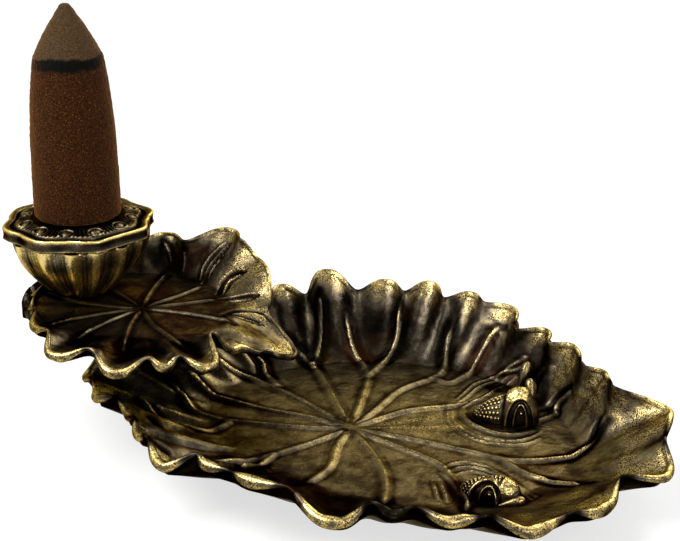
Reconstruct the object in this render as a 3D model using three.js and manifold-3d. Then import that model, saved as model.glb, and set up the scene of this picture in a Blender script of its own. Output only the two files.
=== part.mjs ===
// Backflow incense burner: a large cast lotus-leaf dish with two small fish on its floor, a small lotus-leaf
// dish held over one end of it on a stem, a seed-pod cup on the small leaf and an incense cone on the pod.
// Smoke sinks through the cone, the seed plate and the cup, leaves by the cup's outlet, runs down the spout
// of the small leaf and pools in the large one.
// Millimetres, +Z up. The origin is on the ground under the centre of the large leaf's veins, +X runs
// along the leaf from the pod to the tip, and +Y is the side away from the two leaves' front.

import * as THREE from 'three';
import { mergeVertices } from 'three/addons/utils/BufferGeometryUtils.js';
import Module from 'manifold-3d';

const wasm = await Module();
wasm.setup();

const TURN = Math.PI * 2;

// Clearances between separate pieces
const seatGap = 0.3;         // between a piece and the face that carries it
const boreGap = 0.3;         // all round a screw or peg in its hole
const plateGap = 0.35;       // all round the seed plate in the cup

// Large leaf. Each row of the rim is one lobe: the angle of its crest in degrees, its reach from the centre
// and its rise above the floor of the dish, and the same three for the pinch between it and the next lobe
const largeLeaf = {
  centre: [0, 0],
  underside: 1,
  floorSheet: 1.8,
  rimSheet: 1.3,
  floorLong: 28.5,
  floorWide: 21.4,
  floorShift: [5, 4.2],
  bowl: 1.5,
  lipDroop: 0.3,
  lipStart: 0.75,
  footInset: 1.5,
  footWidth: 2.6,
  hubPad: 5,
  stepsPerHalfLobe: 3,
  topSteps: [0, 0.25, 0.5, 0.75, 0.9, 1],
  underSteps: [0.3, 0.65, 1],
  rim: [
    [-5, 50.2, 5.1, 2.5, 47.8, 7],
    [9.8, 48.2, 8.1, 18.5, 39.6, 8.7],
    [24.5, 39.4, 9, 29.5, 36.3, 8.7],
    [40, 37.6, 9.2, 45, 34.6, 8.7],
    [50.5, 36.6, 9.4, 56.5, 32.8, 8.8],
    [67, 37.8, 9.8, 74, 36.8, 9.2],
    [80, 38.9, 9.7, 85, 35, 9.1],
    [92, 39.6, 10, 97, 35, 9.2],
    [103, 38.4, 10, 110.5, 34.2, 9.2],
    [119, 39.8, 11.2, 126.5, 32.6, 9.4],
    [131.5, 37.4, 10, 137, 35, 9.5],
    [143.5, 38.4, 9.8, 149.5, 36.2, 9.6],
    [155.5, 39.8, 9.4, 161, 37.8, 9.4],
    [167, 41.4, 8.8, 173, 39.8, 9],
    [180, 42.8, 7.7, 185, 41.6, 7.8],
    [191, 43.2, 5.4, 197, 40.2, 6.4],
    [202.5, 39.6, 6.2, 210.5, 35.4, 7.4],
    [217, 34.6, 7.1, 223, 33.8, 7.5],
    [228.5, 34.6, 6.9, 233.5, 34, 7.4],
    [243.5, 35.4, 6.2, 250, 31.6, 7.6],
    [254, 32.4, 7.4, 261, 31.3, 7.8],
    [268, 33, 7.4, 277, 32.4, 8.1],
    [290, 38.5, 6.1, 297.3, 35.3, 7.7],
    [301.8, 37.1, 6.8, 305.5, 36.3, 7.5],
    [314.5, 41.9, 6.3, 319, 41.2, 6.8],
    [325.5, 46, 4.8, 332, 44.2, 5.9],
    [339, 46.7, 4.7, 348.5, 45, 6.3],
  ],
};

// Small leaf: the lobe near 9 degrees is the down-turned spout
const smallLeaf = {
  centre: [-34, -3],
  underside: 16.6,
  floorSheet: 1.6,
  rimSheet: 1.2,
  floorLong: 16.8,
  floorWide: 12.5,
  floorShift: [-1.8, 1.5],
  bowl: 1.4,
  lipDroop: 0.25,
  lipStart: 0.75,
  footInset: 0,
  footWidth: 0,
  hubPad: 0,
  stepsPerHalfLobe: 3,
  topSteps: [0, 0.25, 0.5, 0.75, 1],
  underSteps: [0.35, 0.7, 1],
  rim: [
    [8.5, 25.6, -4.8, 20, 20.4, -0.4],
    [40, 21, 2.8, 50, 20.2, 4.6],
    [58, 21.8, 5, 66, 20.8, 6.4],
    [78, 23.2, 6.8, 95, 18, 5.2],
    [108, 21.8, 5.2, 118, 20.2, 4.6],
    [127, 21.6, 4, 136, 20.2, 3.6],
    [147, 20.8, 1.6, 156, 20.1, 1],
    [166, 20.2, 0.9, 177, 18.8, 0.9],
    [188, 19, 0.7, 196, 17.7, 1],
    [204, 18, 0.5, 217, 16.6, 1.5],
    [233, 18.2, 1, 247, 17.8, 1.5],
    [262, 21.2, 0.2, 277, 19.4, 1.2],
    [291, 23, -0.4, 303, 21.2, 0.8],
    [308.6, 22.9, 0.1, 314.5, 22.3, 1],
    [323, 25.9, 0.3, 333, 19.4, 2.1],
    [346, 20.4, -1.2, 356, 22, -3],
  ],
};

// Stem cast under the small leaf and the boss on the large leaf's wall that it stands on. The place is
// measured from the small leaf's centre, and the boss's two ends from the floor of the large leaf
const stem = {
  place: [1, 10.4],
  footRadius: 3.8,
  footHeight: 0.8,
  waistRadius: 3,
  waistHeight: 1.6,
  crownRadius: 5,
  crownHeight: 0.9,
  rootDepth: 0.4,
  bossRadius: 4.7,
  bossLow: 1,
  bossHigh: 7.6,
  boreDepth: 5.2,
};

// Slotted pan-head screws
const screw = {
  radius: 1.5,
  headRadius: 2.7,
  headHeight: 1.5,
  headEdge: 0.5,
  tipEdge: 0.4,
  slotWidth: 0.8,
  slotDepth: 0.7,
  stemGrip: 4,
  podTipGap: 0.8,
};

// Seed-pod cup. The place is measured from the small leaf's centre
const pod = {
  place: [-12.9, 3.8],
  footRadius: 5,
  bellyRadius: 10.9,
  bandRadius: 11.7,
  wall: 1.4,
  cupHeight: 9.4,
  bandHeight: 2.3,
  bandEdge: 0.3,
  floorHeight: 1.8,
  petals: 12,
  fluteDepth: 0.5,
  scallop: 0.35,
  ledgeDepth: 2,
  ledgeWidth: 1.2,
  outletWidth: 4.6,
  outletHeight: 3.4,
  outletTurn: 15,
  bossRadius: 3.2,
  bossHeight: 1.2,
  bellyLevels: 5,
  chamberLevels: 3,
  steps: 72,
};

// Seed plate that drops into the cup
const seedPlate = {
  thickness: 2.2,
  crown: 0.35,
  edge: 0.4,
  smokeHole: 1.6,
  seeds: 12,
  seedRing: 8.65,
  seedRadius: 1.2,
  seedHeight: 0.55,
};

// Incense cone with its burnt tip
const cone = {
  baseRadius: 6.8,
  bodyHeight: 24,
  shoulderRadius: 5.5,
  height: 33.2,
  tipRadius: 1.05,
  smokeBore: 1.25,
  boreHeight: 20,
  bodyPower: 2.6,
  bodyLevels: 5,
};

// Fish castings: place of the middle of each, from the large leaf's centre, and the turn of its head from +X
// in degrees
const fish = {
  length: 11,
  width: 5,
  height: 4.6,
  crest: 5.6,
  browLength: 3.3,
  browAt: 1.7,
  gillLength: 1.8,
  gillWidth: 5.3,
  gillAt: 0.5,
  noseSize: 2.4,
  pegRadius: 1.1,
  pegLength: 0.9,
  places: {
    fish_rear: { at: [20.8, 12.2], turn: 8 },
    fish_front: { at: [25.2, -10.3], turn: -6 },
  },
};

// Levels and places that more than one piece shares
const floorTop = (leaf) => leaf.underside + leaf.floorSheet;
const placed = (leaf, place) => [leaf.centre[0] + place[0], leaf.centre[1] + place[1]];
const stemAt = placed(smallLeaf, stem.place);
const podAt = placed(smallLeaf, pod.place);
const bossLow = floorTop(largeLeaf) + stem.bossLow;
const bossHigh = floorTop(largeLeaf) + stem.bossHigh;
const headSeat = bossLow + screw.headHeight + seatGap * 2;
const stemFoot = bossHigh + seatGap;
const podFoot = floorTop(smallLeaf) + seatGap;

const brass = { color: '#6b5730', roughness: 0.42, metalness: 1 };
const brassDark = { color: '#54452a', roughness: 0.48, metalness: 1 };
const steel = { color: '#8d8f92', roughness: 0.35, metalness: 1 };
const incense = { color: '#5b2f1b', roughness: 0.95, metalness: 0 };

const burner = new THREE.Group();

function addPiece(name, geometry, finish) {
  const mesh = new THREE.Mesh(geometry, new THREE.MeshStandardMaterial(finish));
  mesh.name = name;
  burner.add(mesh);
}

// Keeps only positions, joins shared vertices and drops the triangles that a pole or seam leaves empty
function closed(geometry) {
  const bare = geometry.clone();
  bare.deleteAttribute('normal');
  bare.deleteAttribute('uv');
  const merged = mergeVertices(bare, 1e-4);
  const index = merged.index.array;
  const kept = [];
  for (let i = 0; i < index.length; i += 3) {
    const [a, b, c] = [index[i], index[i + 1], index[i + 2]];
    if (a !== b && b !== c && c !== a) {
      kept.push(a, b, c);
    }
  }
  merged.setIndex(kept);
  return merged;
}

function toSolid(geometry) {
  const shape = closed(geometry);
  const vertProperties = new Float32Array(shape.attributes.position.array);
  const triVerts = new Uint32Array(shape.index.array);
  return new wasm.Manifold(new wasm.Mesh({ numProp: 3, vertProperties, triVerts }));
}

function toGeometry(solid) {
  const mesh = solid.getMesh();
  const geometry = new THREE.BufferGeometry();
  geometry.setAttribute('position', new THREE.BufferAttribute(mesh.vertProperties, 3));
  geometry.setIndex(new THREE.BufferAttribute(mesh.triVerts, 1));
  geometry.computeVertexNormals();
  return geometry;
}

// A body turned about +Z through a point; the profile runs from low to high on the outside
function turned(profile, at, steps) {
  const points = profile.map(([r, z]) => new THREE.Vector2(r, z));
  const geometry = new THREE.LatheGeometry(points, steps);
  geometry.rotateX(Math.PI / 2);
  geometry.translate(at[0], at[1], 0);
  return geometry;
}

function rod(radius, low, high, at, steps = 32) {
  return turned([[0, low], [radius, low], [radius, high], [0, high]], at, steps);
}

// Smooth step from one value to the next, level at both ends
function blend(a, b, t) {
  return a + (b - a) * (1 - Math.cos(Math.PI * t)) / 2;
}

// The crests of a leaf and the pinches between them, by rising angle. The middle is the reach that the wall
// would have without its waves
function rimMarks(leaf) {
  const rows = leaf.rim.length;
  const marks = [];
  leaf.rim.forEach(([angle, reach, rise, pinchAngle, pinchReach, pinchRise], i) => {
    const pinchBefore = leaf.rim[(i + rows - 1) % rows][4];
    const crestAfter = leaf.rim[(i + 1) % rows][1];
    const pinches = (pinchBefore + pinchReach) / 2;
    const crests = (reach + crestAfter) / 2;
    marks.push({ angle, reach, rise, middle: (reach + pinches) / 2, crest: 1 });
    marks.push({
      angle: pinchAngle,
      reach: pinchReach,
      rise: pinchRise,
      middle: (pinchReach + crests) / 2,
      crest: 0,
    });
  });
  return marks;
}

// Distance from a leaf's centre to the edge of its flat floor, an oval set off centre
function floorEdge(leaf, angle) {
  const [x, y] = [Math.cos(angle), Math.sin(angle)];
  const oval = 1 / Math.hypot(x / leaf.floorLong, y / leaf.floorWide);
  return oval + leaf.floorShift[0] * x + leaf.floorShift[1] * y;
}

// Points of one radial cut through a leaf, from the middle of the underside out to the rim and back on top.
// The share t runs from 0 at the floor's edge to 1 at the lip
function leafCut(leaf, angle, rim) {
  const floor = floorEdge(leaf, angle);
  const lipRadius = leaf.rimSheet / 2;
  const reach = rim.reach - lipRadius;
  const middle = rim.middle - lipRadius;

  const surface = (t) => {
    const droop = Math.max(0, (t - leaf.lipStart) / (1 - leaf.lipStart));
    return [
      floor + (middle - floor) * t + (reach - middle) * t * t,
      floorTop(leaf) + rim.rise * Math.pow(t, leaf.bowl) - leaf.lipDroop * rim.crest * droop * droop,
    ];
  };
  const below = (t) => {
    const nearby = 0.06;
    const [r0, z0] = surface(Math.max(0, t - nearby));
    const [r1, z1] = surface(Math.min(1, t + nearby));
    const steep = Math.atan2(Math.max(0, z1 - z0), r1 - r0);
    const sheet = leaf.floorSheet + (leaf.rimSheet - leaf.floorSheet) * t;
    const [r, z] = surface(t);
    return [r + sheet * Math.sin(steep), z - sheet * Math.cos(steep)];
  };

  const top = leaf.topSteps.map(surface);
  const bottom = leaf.underSteps.map(below);
  const [lipTop, lipUnder] = [surface(1), below(1)];
  const nose = [(lipTop[0] + lipUnder[0]) / 2 + lipRadius * 0.7, (lipTop[1] + lipUnder[1]) / 2];
  const cut = [];
  if (leaf.hubPad > 0) {
    cut.push([0, 0], [leaf.hubPad, 0], [leaf.hubPad, leaf.underside]);
  } else {
    cut.push([0, leaf.underside]);
  }
  if (leaf.footWidth > 0) {
    const outer = floor - leaf.footInset;
    const inner = outer - leaf.footWidth;
    cut.push([inner, leaf.underside], [inner, 0], [outer, 0], [outer, leaf.underside]);
  } else {
    cut.push([floor, leaf.underside]);
  }
  cut.push(...bottom, nose, ...top.reverse(), [0, floorTop(leaf)]);
  return cut;
}

// A cast leaf: the closed grid of a lathe, each of its cuts bent to the leaf's own outline
function leafDish(leaf) {
  const marks = rimMarks(leaf);
  const half = leaf.stepsPerHalfLobe;
  const cuts = [];
  marks.forEach((mark, i) => {
    const next = marks[(i + 1) % marks.length];
    const nextAngle = next.angle + (i + 1 === marks.length ? 360 : 0);
    for (let k = 0; k < half; k += 1) {
      const t = k / half;
      const angle = THREE.MathUtils.degToRad(mark.angle + (nextAngle - mark.angle) * t);
      const rim = {};
      for (const key of ['reach', 'rise', 'middle', 'crest']) {
        rim[key] = blend(mark[key], next[key], t);
      }
      cuts.push({ angle, points: leafCut(leaf, angle, rim) });
    }
  });
  const rows = cuts[0].points.length;
  const profile = cuts[0].points.map(([r, z]) => new THREE.Vector2(r, z));
  const geometry = new THREE.LatheGeometry(profile, cuts.length);
  const position = geometry.attributes.position;
  for (let i = 0; i <= cuts.length; i += 1) {
    const cut = cuts[i % cuts.length];
    cut.points.forEach(([r, z], j) => {
      const x = leaf.centre[0] + r * Math.cos(cut.angle);
      const y = leaf.centre[1] + r * Math.sin(cut.angle);
      position.setXYZ(i * rows + j, x, y, z);
    });
  }
  return geometry;
}

// The boss is bored for the stem's screw from beneath, and the wall round its top is cut clear of the stem
function addLargeLeaf() {
  const floor = floorTop(largeLeaf);
  const boss = rod(stem.bossRadius, bossLow, bossHigh, stemAt);
  const shankHole = rod(screw.radius + boreGap, 0, bossHigh + 1, stemAt);
  const headHole = rod(screw.headRadius + boreGap, 0, headSeat, stemAt);
  const stemRoom = rod(stem.footRadius + boreGap, bossHigh, smallLeaf.underside, stemAt);
  let leaf = toSolid(leafDish(largeLeaf)).add(toSolid(boss));
  leaf = leaf.subtract(toSolid(shankHole)).subtract(toSolid(headHole)).subtract(toSolid(stemRoom));
  for (const { at } of Object.values(fish.places)) {
    const low = floor - fish.pegLength - seatGap;
    const pegHole = rod(fish.pegRadius + boreGap, low, floor + 1, placed(largeLeaf, at), 20);
    leaf = leaf.subtract(toSolid(pegHole));
  }
  addPiece('large_leaf_dish', toGeometry(leaf), brass);
}

function addSmallLeaf() {
  const { underside } = smallLeaf;
  const middle = (stemFoot + underside) / 2;
  const stemProfile = [
    [0, stemFoot],
    [stem.footRadius, stemFoot],
    [stem.footRadius, stemFoot + stem.footHeight],
    [stem.waistRadius, middle - stem.waistHeight / 2],
    [stem.waistRadius, middle + stem.waistHeight / 2],
    [(stem.crownRadius + stem.waistRadius) / 2, underside - stem.crownHeight],
    [stem.crownRadius, underside + stem.rootDepth],
    [0, underside + stem.rootDepth],
  ];
  const stemBore = rod(screw.radius + boreGap, stemFoot - 1, stemFoot + stem.boreDepth, stemAt);
  const podHole = rod(screw.radius + boreGap, underside - 1, floorTop(smallLeaf) + 1, podAt);
  let leaf = toSolid(leafDish(smallLeaf)).add(toSolid(turned(stemProfile, stemAt, 40)));
  leaf = leaf.subtract(toSolid(stemBore)).subtract(toSolid(podHole));
  addPiece('small_leaf_dish', toGeometry(leaf), brass);
}

// A slotted screw seen head down: the head hangs under its seat and the shank rises from it to the tip
function addScrew(name, seat, tip, at) {
  const high = seat - seatGap;
  const low = high - screw.headHeight;
  const profile = [
    [0, low],
    [screw.headRadius - screw.headEdge, low],
    [screw.headRadius, low + screw.headEdge],
    [screw.headRadius, high],
    [screw.radius, high],
    [screw.radius, tip - screw.tipEdge],
    [screw.radius - screw.tipEdge, tip],
    [0, tip],
  ];
  const slot = new THREE.BoxGeometry(screw.headRadius * 3, screw.slotWidth, screw.slotDepth * 2);
  slot.translate(at[0], at[1], low);
  const body = toSolid(turned(profile, at, 32)).subtract(toSolid(slot));
  addPiece(name, toGeometry(body), steel);
}

// Heights of the cup
const cupTop = podFoot + pod.cupHeight;
const podRim = cupTop + pod.bandHeight;
const podFloor = podFoot + pod.floorHeight;
const podLedge = podRim - pod.ledgeDepth;
const podBossTop = podFloor + pod.bossHeight;
const plateLow = podLedge + seatGap;
const plateHigh = plateLow + seedPlate.thickness;
const recessRadius = pod.bandRadius - pod.wall;

// Radius of the cup's outside at a share of its height, round as a quarter of a sine
function bellyRadius(t) {
  return pod.footRadius + (pod.bellyRadius - pod.footRadius) * Math.sin(t * Math.PI / 2);
}

// Cup of petals: a turned cup whose outside is fluted and whose band is scalloped
function addPodCup() {
  const ledgeRadius = recessRadius - pod.ledgeWidth;
  const foot = [[0, podFoot], [pod.footRadius, podFoot]];
  const belly = [];
  for (let k = 1; k <= pod.bellyLevels; k += 1) {
    const t = k / pod.bellyLevels;
    belly.push([bellyRadius(t), podFoot + pod.cupHeight * t]);
  }
  const band = [
    [pod.bandRadius, cupTop + pod.bandEdge],
    [pod.bandRadius, podRim - pod.bandEdge],
    [pod.bandRadius - pod.bandEdge, podRim],
  ];
  const seat = [[recessRadius, podRim], [recessRadius, podLedge], [ledgeRadius, podLedge]];
  const chamber = [];
  for (let k = pod.chamberLevels; k >= 1; k -= 1) {
    const z = podFloor + (podLedge - podFloor) * k / (pod.chamberLevels + 1);
    const r = bellyRadius(Math.min(1, (z - podFoot) / pod.cupHeight)) - pod.wall;
    chamber.push([Math.min(r, ledgeRadius), z]);
  }
  const floor = [
    [bellyRadius(pod.floorHeight / pod.cupHeight) - pod.wall, podFloor],
    [pod.bossRadius, podFloor],
    [pod.bossRadius, podBossTop],
    [0, podBossTop],
  ];
  const profile = [...foot, ...belly, ...band, ...seat, ...chamber, ...floor];
  const bellyEnd = foot.length + belly.length;
  const bandEnd = bellyEnd + band.length;
  const geometry = new THREE.LatheGeometry(profile.map(([r, z]) => new THREE.Vector2(r, z)), pod.steps);
  const position = geometry.attributes.position;
  for (let i = 0; i <= pod.steps; i += 1) {
    const angle = (i % pod.steps) / pod.steps * TURN;
    const petal = Math.cos(angle * pod.petals);
    profile.forEach(([r, z], j) => {
      let reach = r;
      if (j >= foot.length && j < bellyEnd) {
        reach += petal * pod.fluteDepth / 2;
      } else if (j >= bellyEnd && j < bandEnd) {
        reach += petal * pod.scallop;
      }
      const x = podAt[0] + reach * Math.cos(angle);
      const y = podAt[1] + reach * Math.sin(angle);
      position.setXYZ(i * profile.length + j, x, y, z);
    });
  }
  const outlet = new THREE.Shape();
  const half = pod.outletWidth / 2;
  outlet.moveTo(-half, 0);
  outlet.lineTo(half, 0);
  outlet.lineTo(half, pod.outletHeight - half);
  outlet.absarc(0, pod.outletHeight - half, half, 0, Math.PI, false);
  outlet.lineTo(-half, 0);
  const tunnel = new THREE.ExtrudeGeometry(outlet, {
    depth: pod.bandRadius * 2,
    bevelEnabled: false,
    curveSegments: 8,
  });
  tunnel.rotateX(Math.PI / 2);
  tunnel.rotateZ(Math.PI / 2);
  tunnel.translate(pod.bossRadius, 0, 0);
  tunnel.rotateZ(THREE.MathUtils.degToRad(pod.outletTurn));
  tunnel.translate(podAt[0], podAt[1], podFloor);
  const screwHole = rod(screw.radius + boreGap, podFoot - 1, podBossTop + 1, podAt);
  const cup = toSolid(geometry).subtract(toSolid(tunnel)).subtract(toSolid(screwHole));
  addPiece('lotus_pod_cup', toGeometry(cup), brassDark);
}

function addSeedPlate() {
  const radius = recessRadius - plateGap;
  const shoulder = plateHigh - seedPlate.crown;
  const profile = [
    [seedPlate.smokeHole, plateLow],
    [radius, plateLow],
    [radius, shoulder - seedPlate.edge],
    [radius - seedPlate.edge, shoulder],
    [cone.baseRadius + seatGap, plateHigh],
    [seedPlate.smokeHole, plateHigh],
    [seedPlate.smokeHole, plateLow],
  ];
  let plate = toSolid(turned(profile, podAt, 60));
  for (let k = 0; k < seedPlate.seeds; k += 1) {
    const angle = (k + 0.5) / seedPlate.seeds * TURN;
    const seed = new THREE.SphereGeometry(1, 10, 6);
    seed.rotateX(Math.PI / 2);
    seed.scale(seedPlate.seedRadius, seedPlate.seedRadius, seedPlate.seedHeight + seedPlate.crown);
    seed.translate(
      podAt[0] + seedPlate.seedRing * Math.cos(angle),
      podAt[1] + seedPlate.seedRing * Math.sin(angle),
      shoulder,
    );
    plate = plate.add(toSolid(seed));
  }
  addPiece('pod_seed_plate', toGeometry(plate), brassDark);
}

// The cone's body swells a little towards its base and its burnt end runs to a blunt tip
function addCone() {
  const base = plateHigh + seatGap;
  const apex = base + cone.height;
  const profile = [[cone.smokeBore, base]];
  for (let k = 0; k <= cone.bodyLevels; k += 1) {
    const t = k / cone.bodyLevels;
    const r = cone.baseRadius - (cone.baseRadius - cone.shoulderRadius) * Math.pow(t, cone.bodyPower);
    profile.push([r, base + cone.bodyHeight * t]);
  }
  profile.push([cone.tipRadius, apex - cone.tipRadius / 2]);
  profile.push([cone.tipRadius / 2, apex]);
  profile.push([0, apex]);
  profile.push([0, base + cone.boreHeight]);
  profile.push([cone.smokeBore, base + cone.boreHeight]);
  profile.push([cone.smokeBore, base]);
  addPiece('incense_cone', toGeometry(toSolid(turned(profile, podAt, 48))), incense);
}

// An egg lying along +X whose tail end tapers to a share of its girth
function fishLump(length, width, height, taper, at) {
  const lump = new THREE.SphereGeometry(1, 16, 10);
  const taperStart = 0.35;
  lump.rotateX(Math.PI / 2);
  const position = lump.attributes.position;
  for (let i = 0; i < position.count; i += 1) {
    const x = position.getX(i);
    const slim = 1 - taper * Math.max(0, taperStart - x) / (1 + taperStart);
    position.setXYZ(
      i,
      at[0] + x * length / 2,
      at[1] + position.getY(i) * slim * width / 2,
      at[2] + position.getZ(i) * slim * height / 2,
    );
  }
  return toSolid(lump);
}

// A fish half out of the water: a tapering body, a brow, a gill cover and a mouth, cut flat beneath
function addFish(name, { at, turn }) {
  const { length, width, height, crest } = fish;
  const sunk = height / 4;
  const belly = fishLump(length, width, height * 1.5, 0.75, [0, 0, sunk]);
  const brow = fishLump(fish.browLength, width * 0.62, crest, 0.3, [fish.browAt, 0, crest / 2]);
  const gill = fishLump(fish.gillLength, fish.gillWidth, height * 1.5, 0, [fish.gillAt, 0, sunk]);
  const mouth = [(length - fish.noseSize) / 2, 0, fish.noseSize / 2];
  const nose = fishLump(fish.noseSize, fish.noseSize, fish.noseSize, 0, mouth);
  const water = new THREE.BoxGeometry(length * 2, width * 3, height * 2);
  water.translate(0, 0, -height);
  const peg = rod(fish.pegRadius, -seatGap - fish.pegLength, height / 2, [0, 0], 20);
  const [x, y] = placed(largeLeaf, at);
  let body = belly.add(brow).add(gill).add(nose).subtract(toSolid(water)).add(toSolid(peg));
  body = body.rotate([0, 0, turn]).translate([x, y, floorTop(largeLeaf) + seatGap]);
  addPiece(name, toGeometry(body), brass);
}

addLargeLeaf();
addSmallLeaf();
addPodCup();
addSeedPlate();
addCone();
for (const [name, place] of Object.entries(fish.places)) {
  addFish(name, place);
}
addScrew('stem_screw', headSeat, stemFoot + screw.stemGrip, stemAt);
addScrew('pod_screw', smallLeaf.underside, podBossTop - screw.podTipGap, podAt);

export default burner;
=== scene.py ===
# Backflow incense burner in antique brass: two lotus leaves, a seed-pod cup, a pressed cone and two fish
import math

import bmesh
import bpy
import numpy as np
from mathutils import Matrix, Vector, noise


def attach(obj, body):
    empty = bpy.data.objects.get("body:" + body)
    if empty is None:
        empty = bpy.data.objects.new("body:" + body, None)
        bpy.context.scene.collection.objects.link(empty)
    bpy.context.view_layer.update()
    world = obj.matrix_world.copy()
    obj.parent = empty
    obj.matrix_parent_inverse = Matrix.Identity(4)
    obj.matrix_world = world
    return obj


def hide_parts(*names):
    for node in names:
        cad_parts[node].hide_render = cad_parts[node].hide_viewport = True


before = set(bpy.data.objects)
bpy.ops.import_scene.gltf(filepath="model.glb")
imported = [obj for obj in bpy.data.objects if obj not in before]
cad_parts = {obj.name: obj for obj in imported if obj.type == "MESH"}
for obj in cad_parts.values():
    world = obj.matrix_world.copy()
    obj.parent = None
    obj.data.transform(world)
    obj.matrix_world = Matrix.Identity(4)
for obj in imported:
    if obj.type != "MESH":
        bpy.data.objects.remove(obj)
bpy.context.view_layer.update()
mm = 0.001
fullTurn = 2 * math.pi


# Camera: 21 degrees down and 23 degrees round, through a long lens
shot = {"place": (78.7, -189.4, 107.3), "down": 21, "round": 23, "focalPixels": 1500, "imageWidth": 680}


def addCamera():
    data = bpy.data.cameras.new("camera")
    data.sensor_width = 36
    data.lens = shot["focalPixels"] / shot["imageWidth"] * data.sensor_width
    data.clip_start = 0.01
    data.clip_end = 10
    camera = bpy.data.objects.new("camera", data)
    camera.location = [v * mm for v in shot["place"]]
    camera.rotation_euler = (math.radians(90 - shot["down"]), 0, math.radians(shot["round"]))
    bpy.context.scene.collection.objects.link(camera)
    bpy.context.scene.camera = camera


addCamera()
print("camera placed")


# Materials
def srgb(hexColour):
    channels = [int(hexColour[i:i + 2], 16) / 255 for i in (1, 3, 5)]
    return tuple(c / 12.92 if c <= 0.04045 else ((c + 0.055) / 1.055) ** 2.4 for c in channels) + (1,)


def newMaterial(name):
    material = bpy.data.materials.new(name)
    material.use_nodes = True
    material.node_tree.nodes.clear()
    return material


# Adds one node; an input is a value, or a node and one of its outputs, and a pair of inputs takes a pair
def addNode(material, kind, settings, inputs):
    tree = material.node_tree
    made = tree.nodes.new(kind)
    for key, value in settings.items():
        setattr(made, key, value)
    for key, value in inputs.items():
        if isinstance(key, tuple):
            for socket, part in zip(key, value):
                made.inputs[socket].default_value = part
        elif isinstance(value, tuple) and isinstance(value[0], bpy.types.Node):
            tree.links.new(value[0].outputs[value[1]], made.inputs[key])
        else:
            made.inputs[key].default_value = value
    return made


def fillRamp(ramp, stops):
    points = ramp.color_ramp.elements
    while len(points) < len(stops):
        points.new(0.5)
    for point, (place, colour) in zip(points, stops):
        point.position = place
        point.color = srgb(colour)


# Cast zinc alloy, plated in brass, blackened and rubbed back: black-brown in the hollows, yellow and
# speckled where a cloth reached it. The gild attribute says how far, from 0 for black to 1 for bare brass
brassLook = {
    "stops": [(0.0, "#060504"), (0.18, "#15120c"), (0.34, "#39332a"), (0.5, "#685c43"), (0.68, "#938052"),
              (0.84, "#ba9f60"), (1.0, "#dfc880")],
    "edgeTint": "#a89872",
    "patterns": {                     # mm across, detail and roughness of each noise
        "grain": (0.22, 2, 0.6),      # the sand of the mould, drawn coarser than it is so that it shows
        "cloud": (3.2, 4, 0.6),       # patches that the cloth missed
        "redReflection": (9, 3, 0.6),          # reddish patches: a painted reflection of something reddish nearby
        "dent": (0.9, 2, 0.5),        # shallow unevenness of the cast skin
    },
    "grainShare": (0.03, 0.31),       # how much the grain tells in the dark and on the rubbed brass
    "grainAt": (0.44, 0.56),          # the gild between which it changes over
    "speckFrom": (0.36, 0.64), "speckTo": (-1.15, 0.9),
    "polish": 0.5,                    # how much of the grain is left where the brass is rubbed bare
    "polishAt": (0.65, 0.9),
    "cloudShare": 0.08, "cloudFrom": (0.34, 0.66),
    "redReflectionColour": "#26140a", "redReflectionFrom": (0.52, 0.68), "redReflectionMost": 0.5,
    "redReflectionBelow": (0.12, 0.42),        # it shows in the dark only
    "roughness": (0.34, 0.27),        # blackened, and rubbed
    "bump": 0.35, "dentDeep": 0.2, "grainDeep": 0.08,
}


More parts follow.
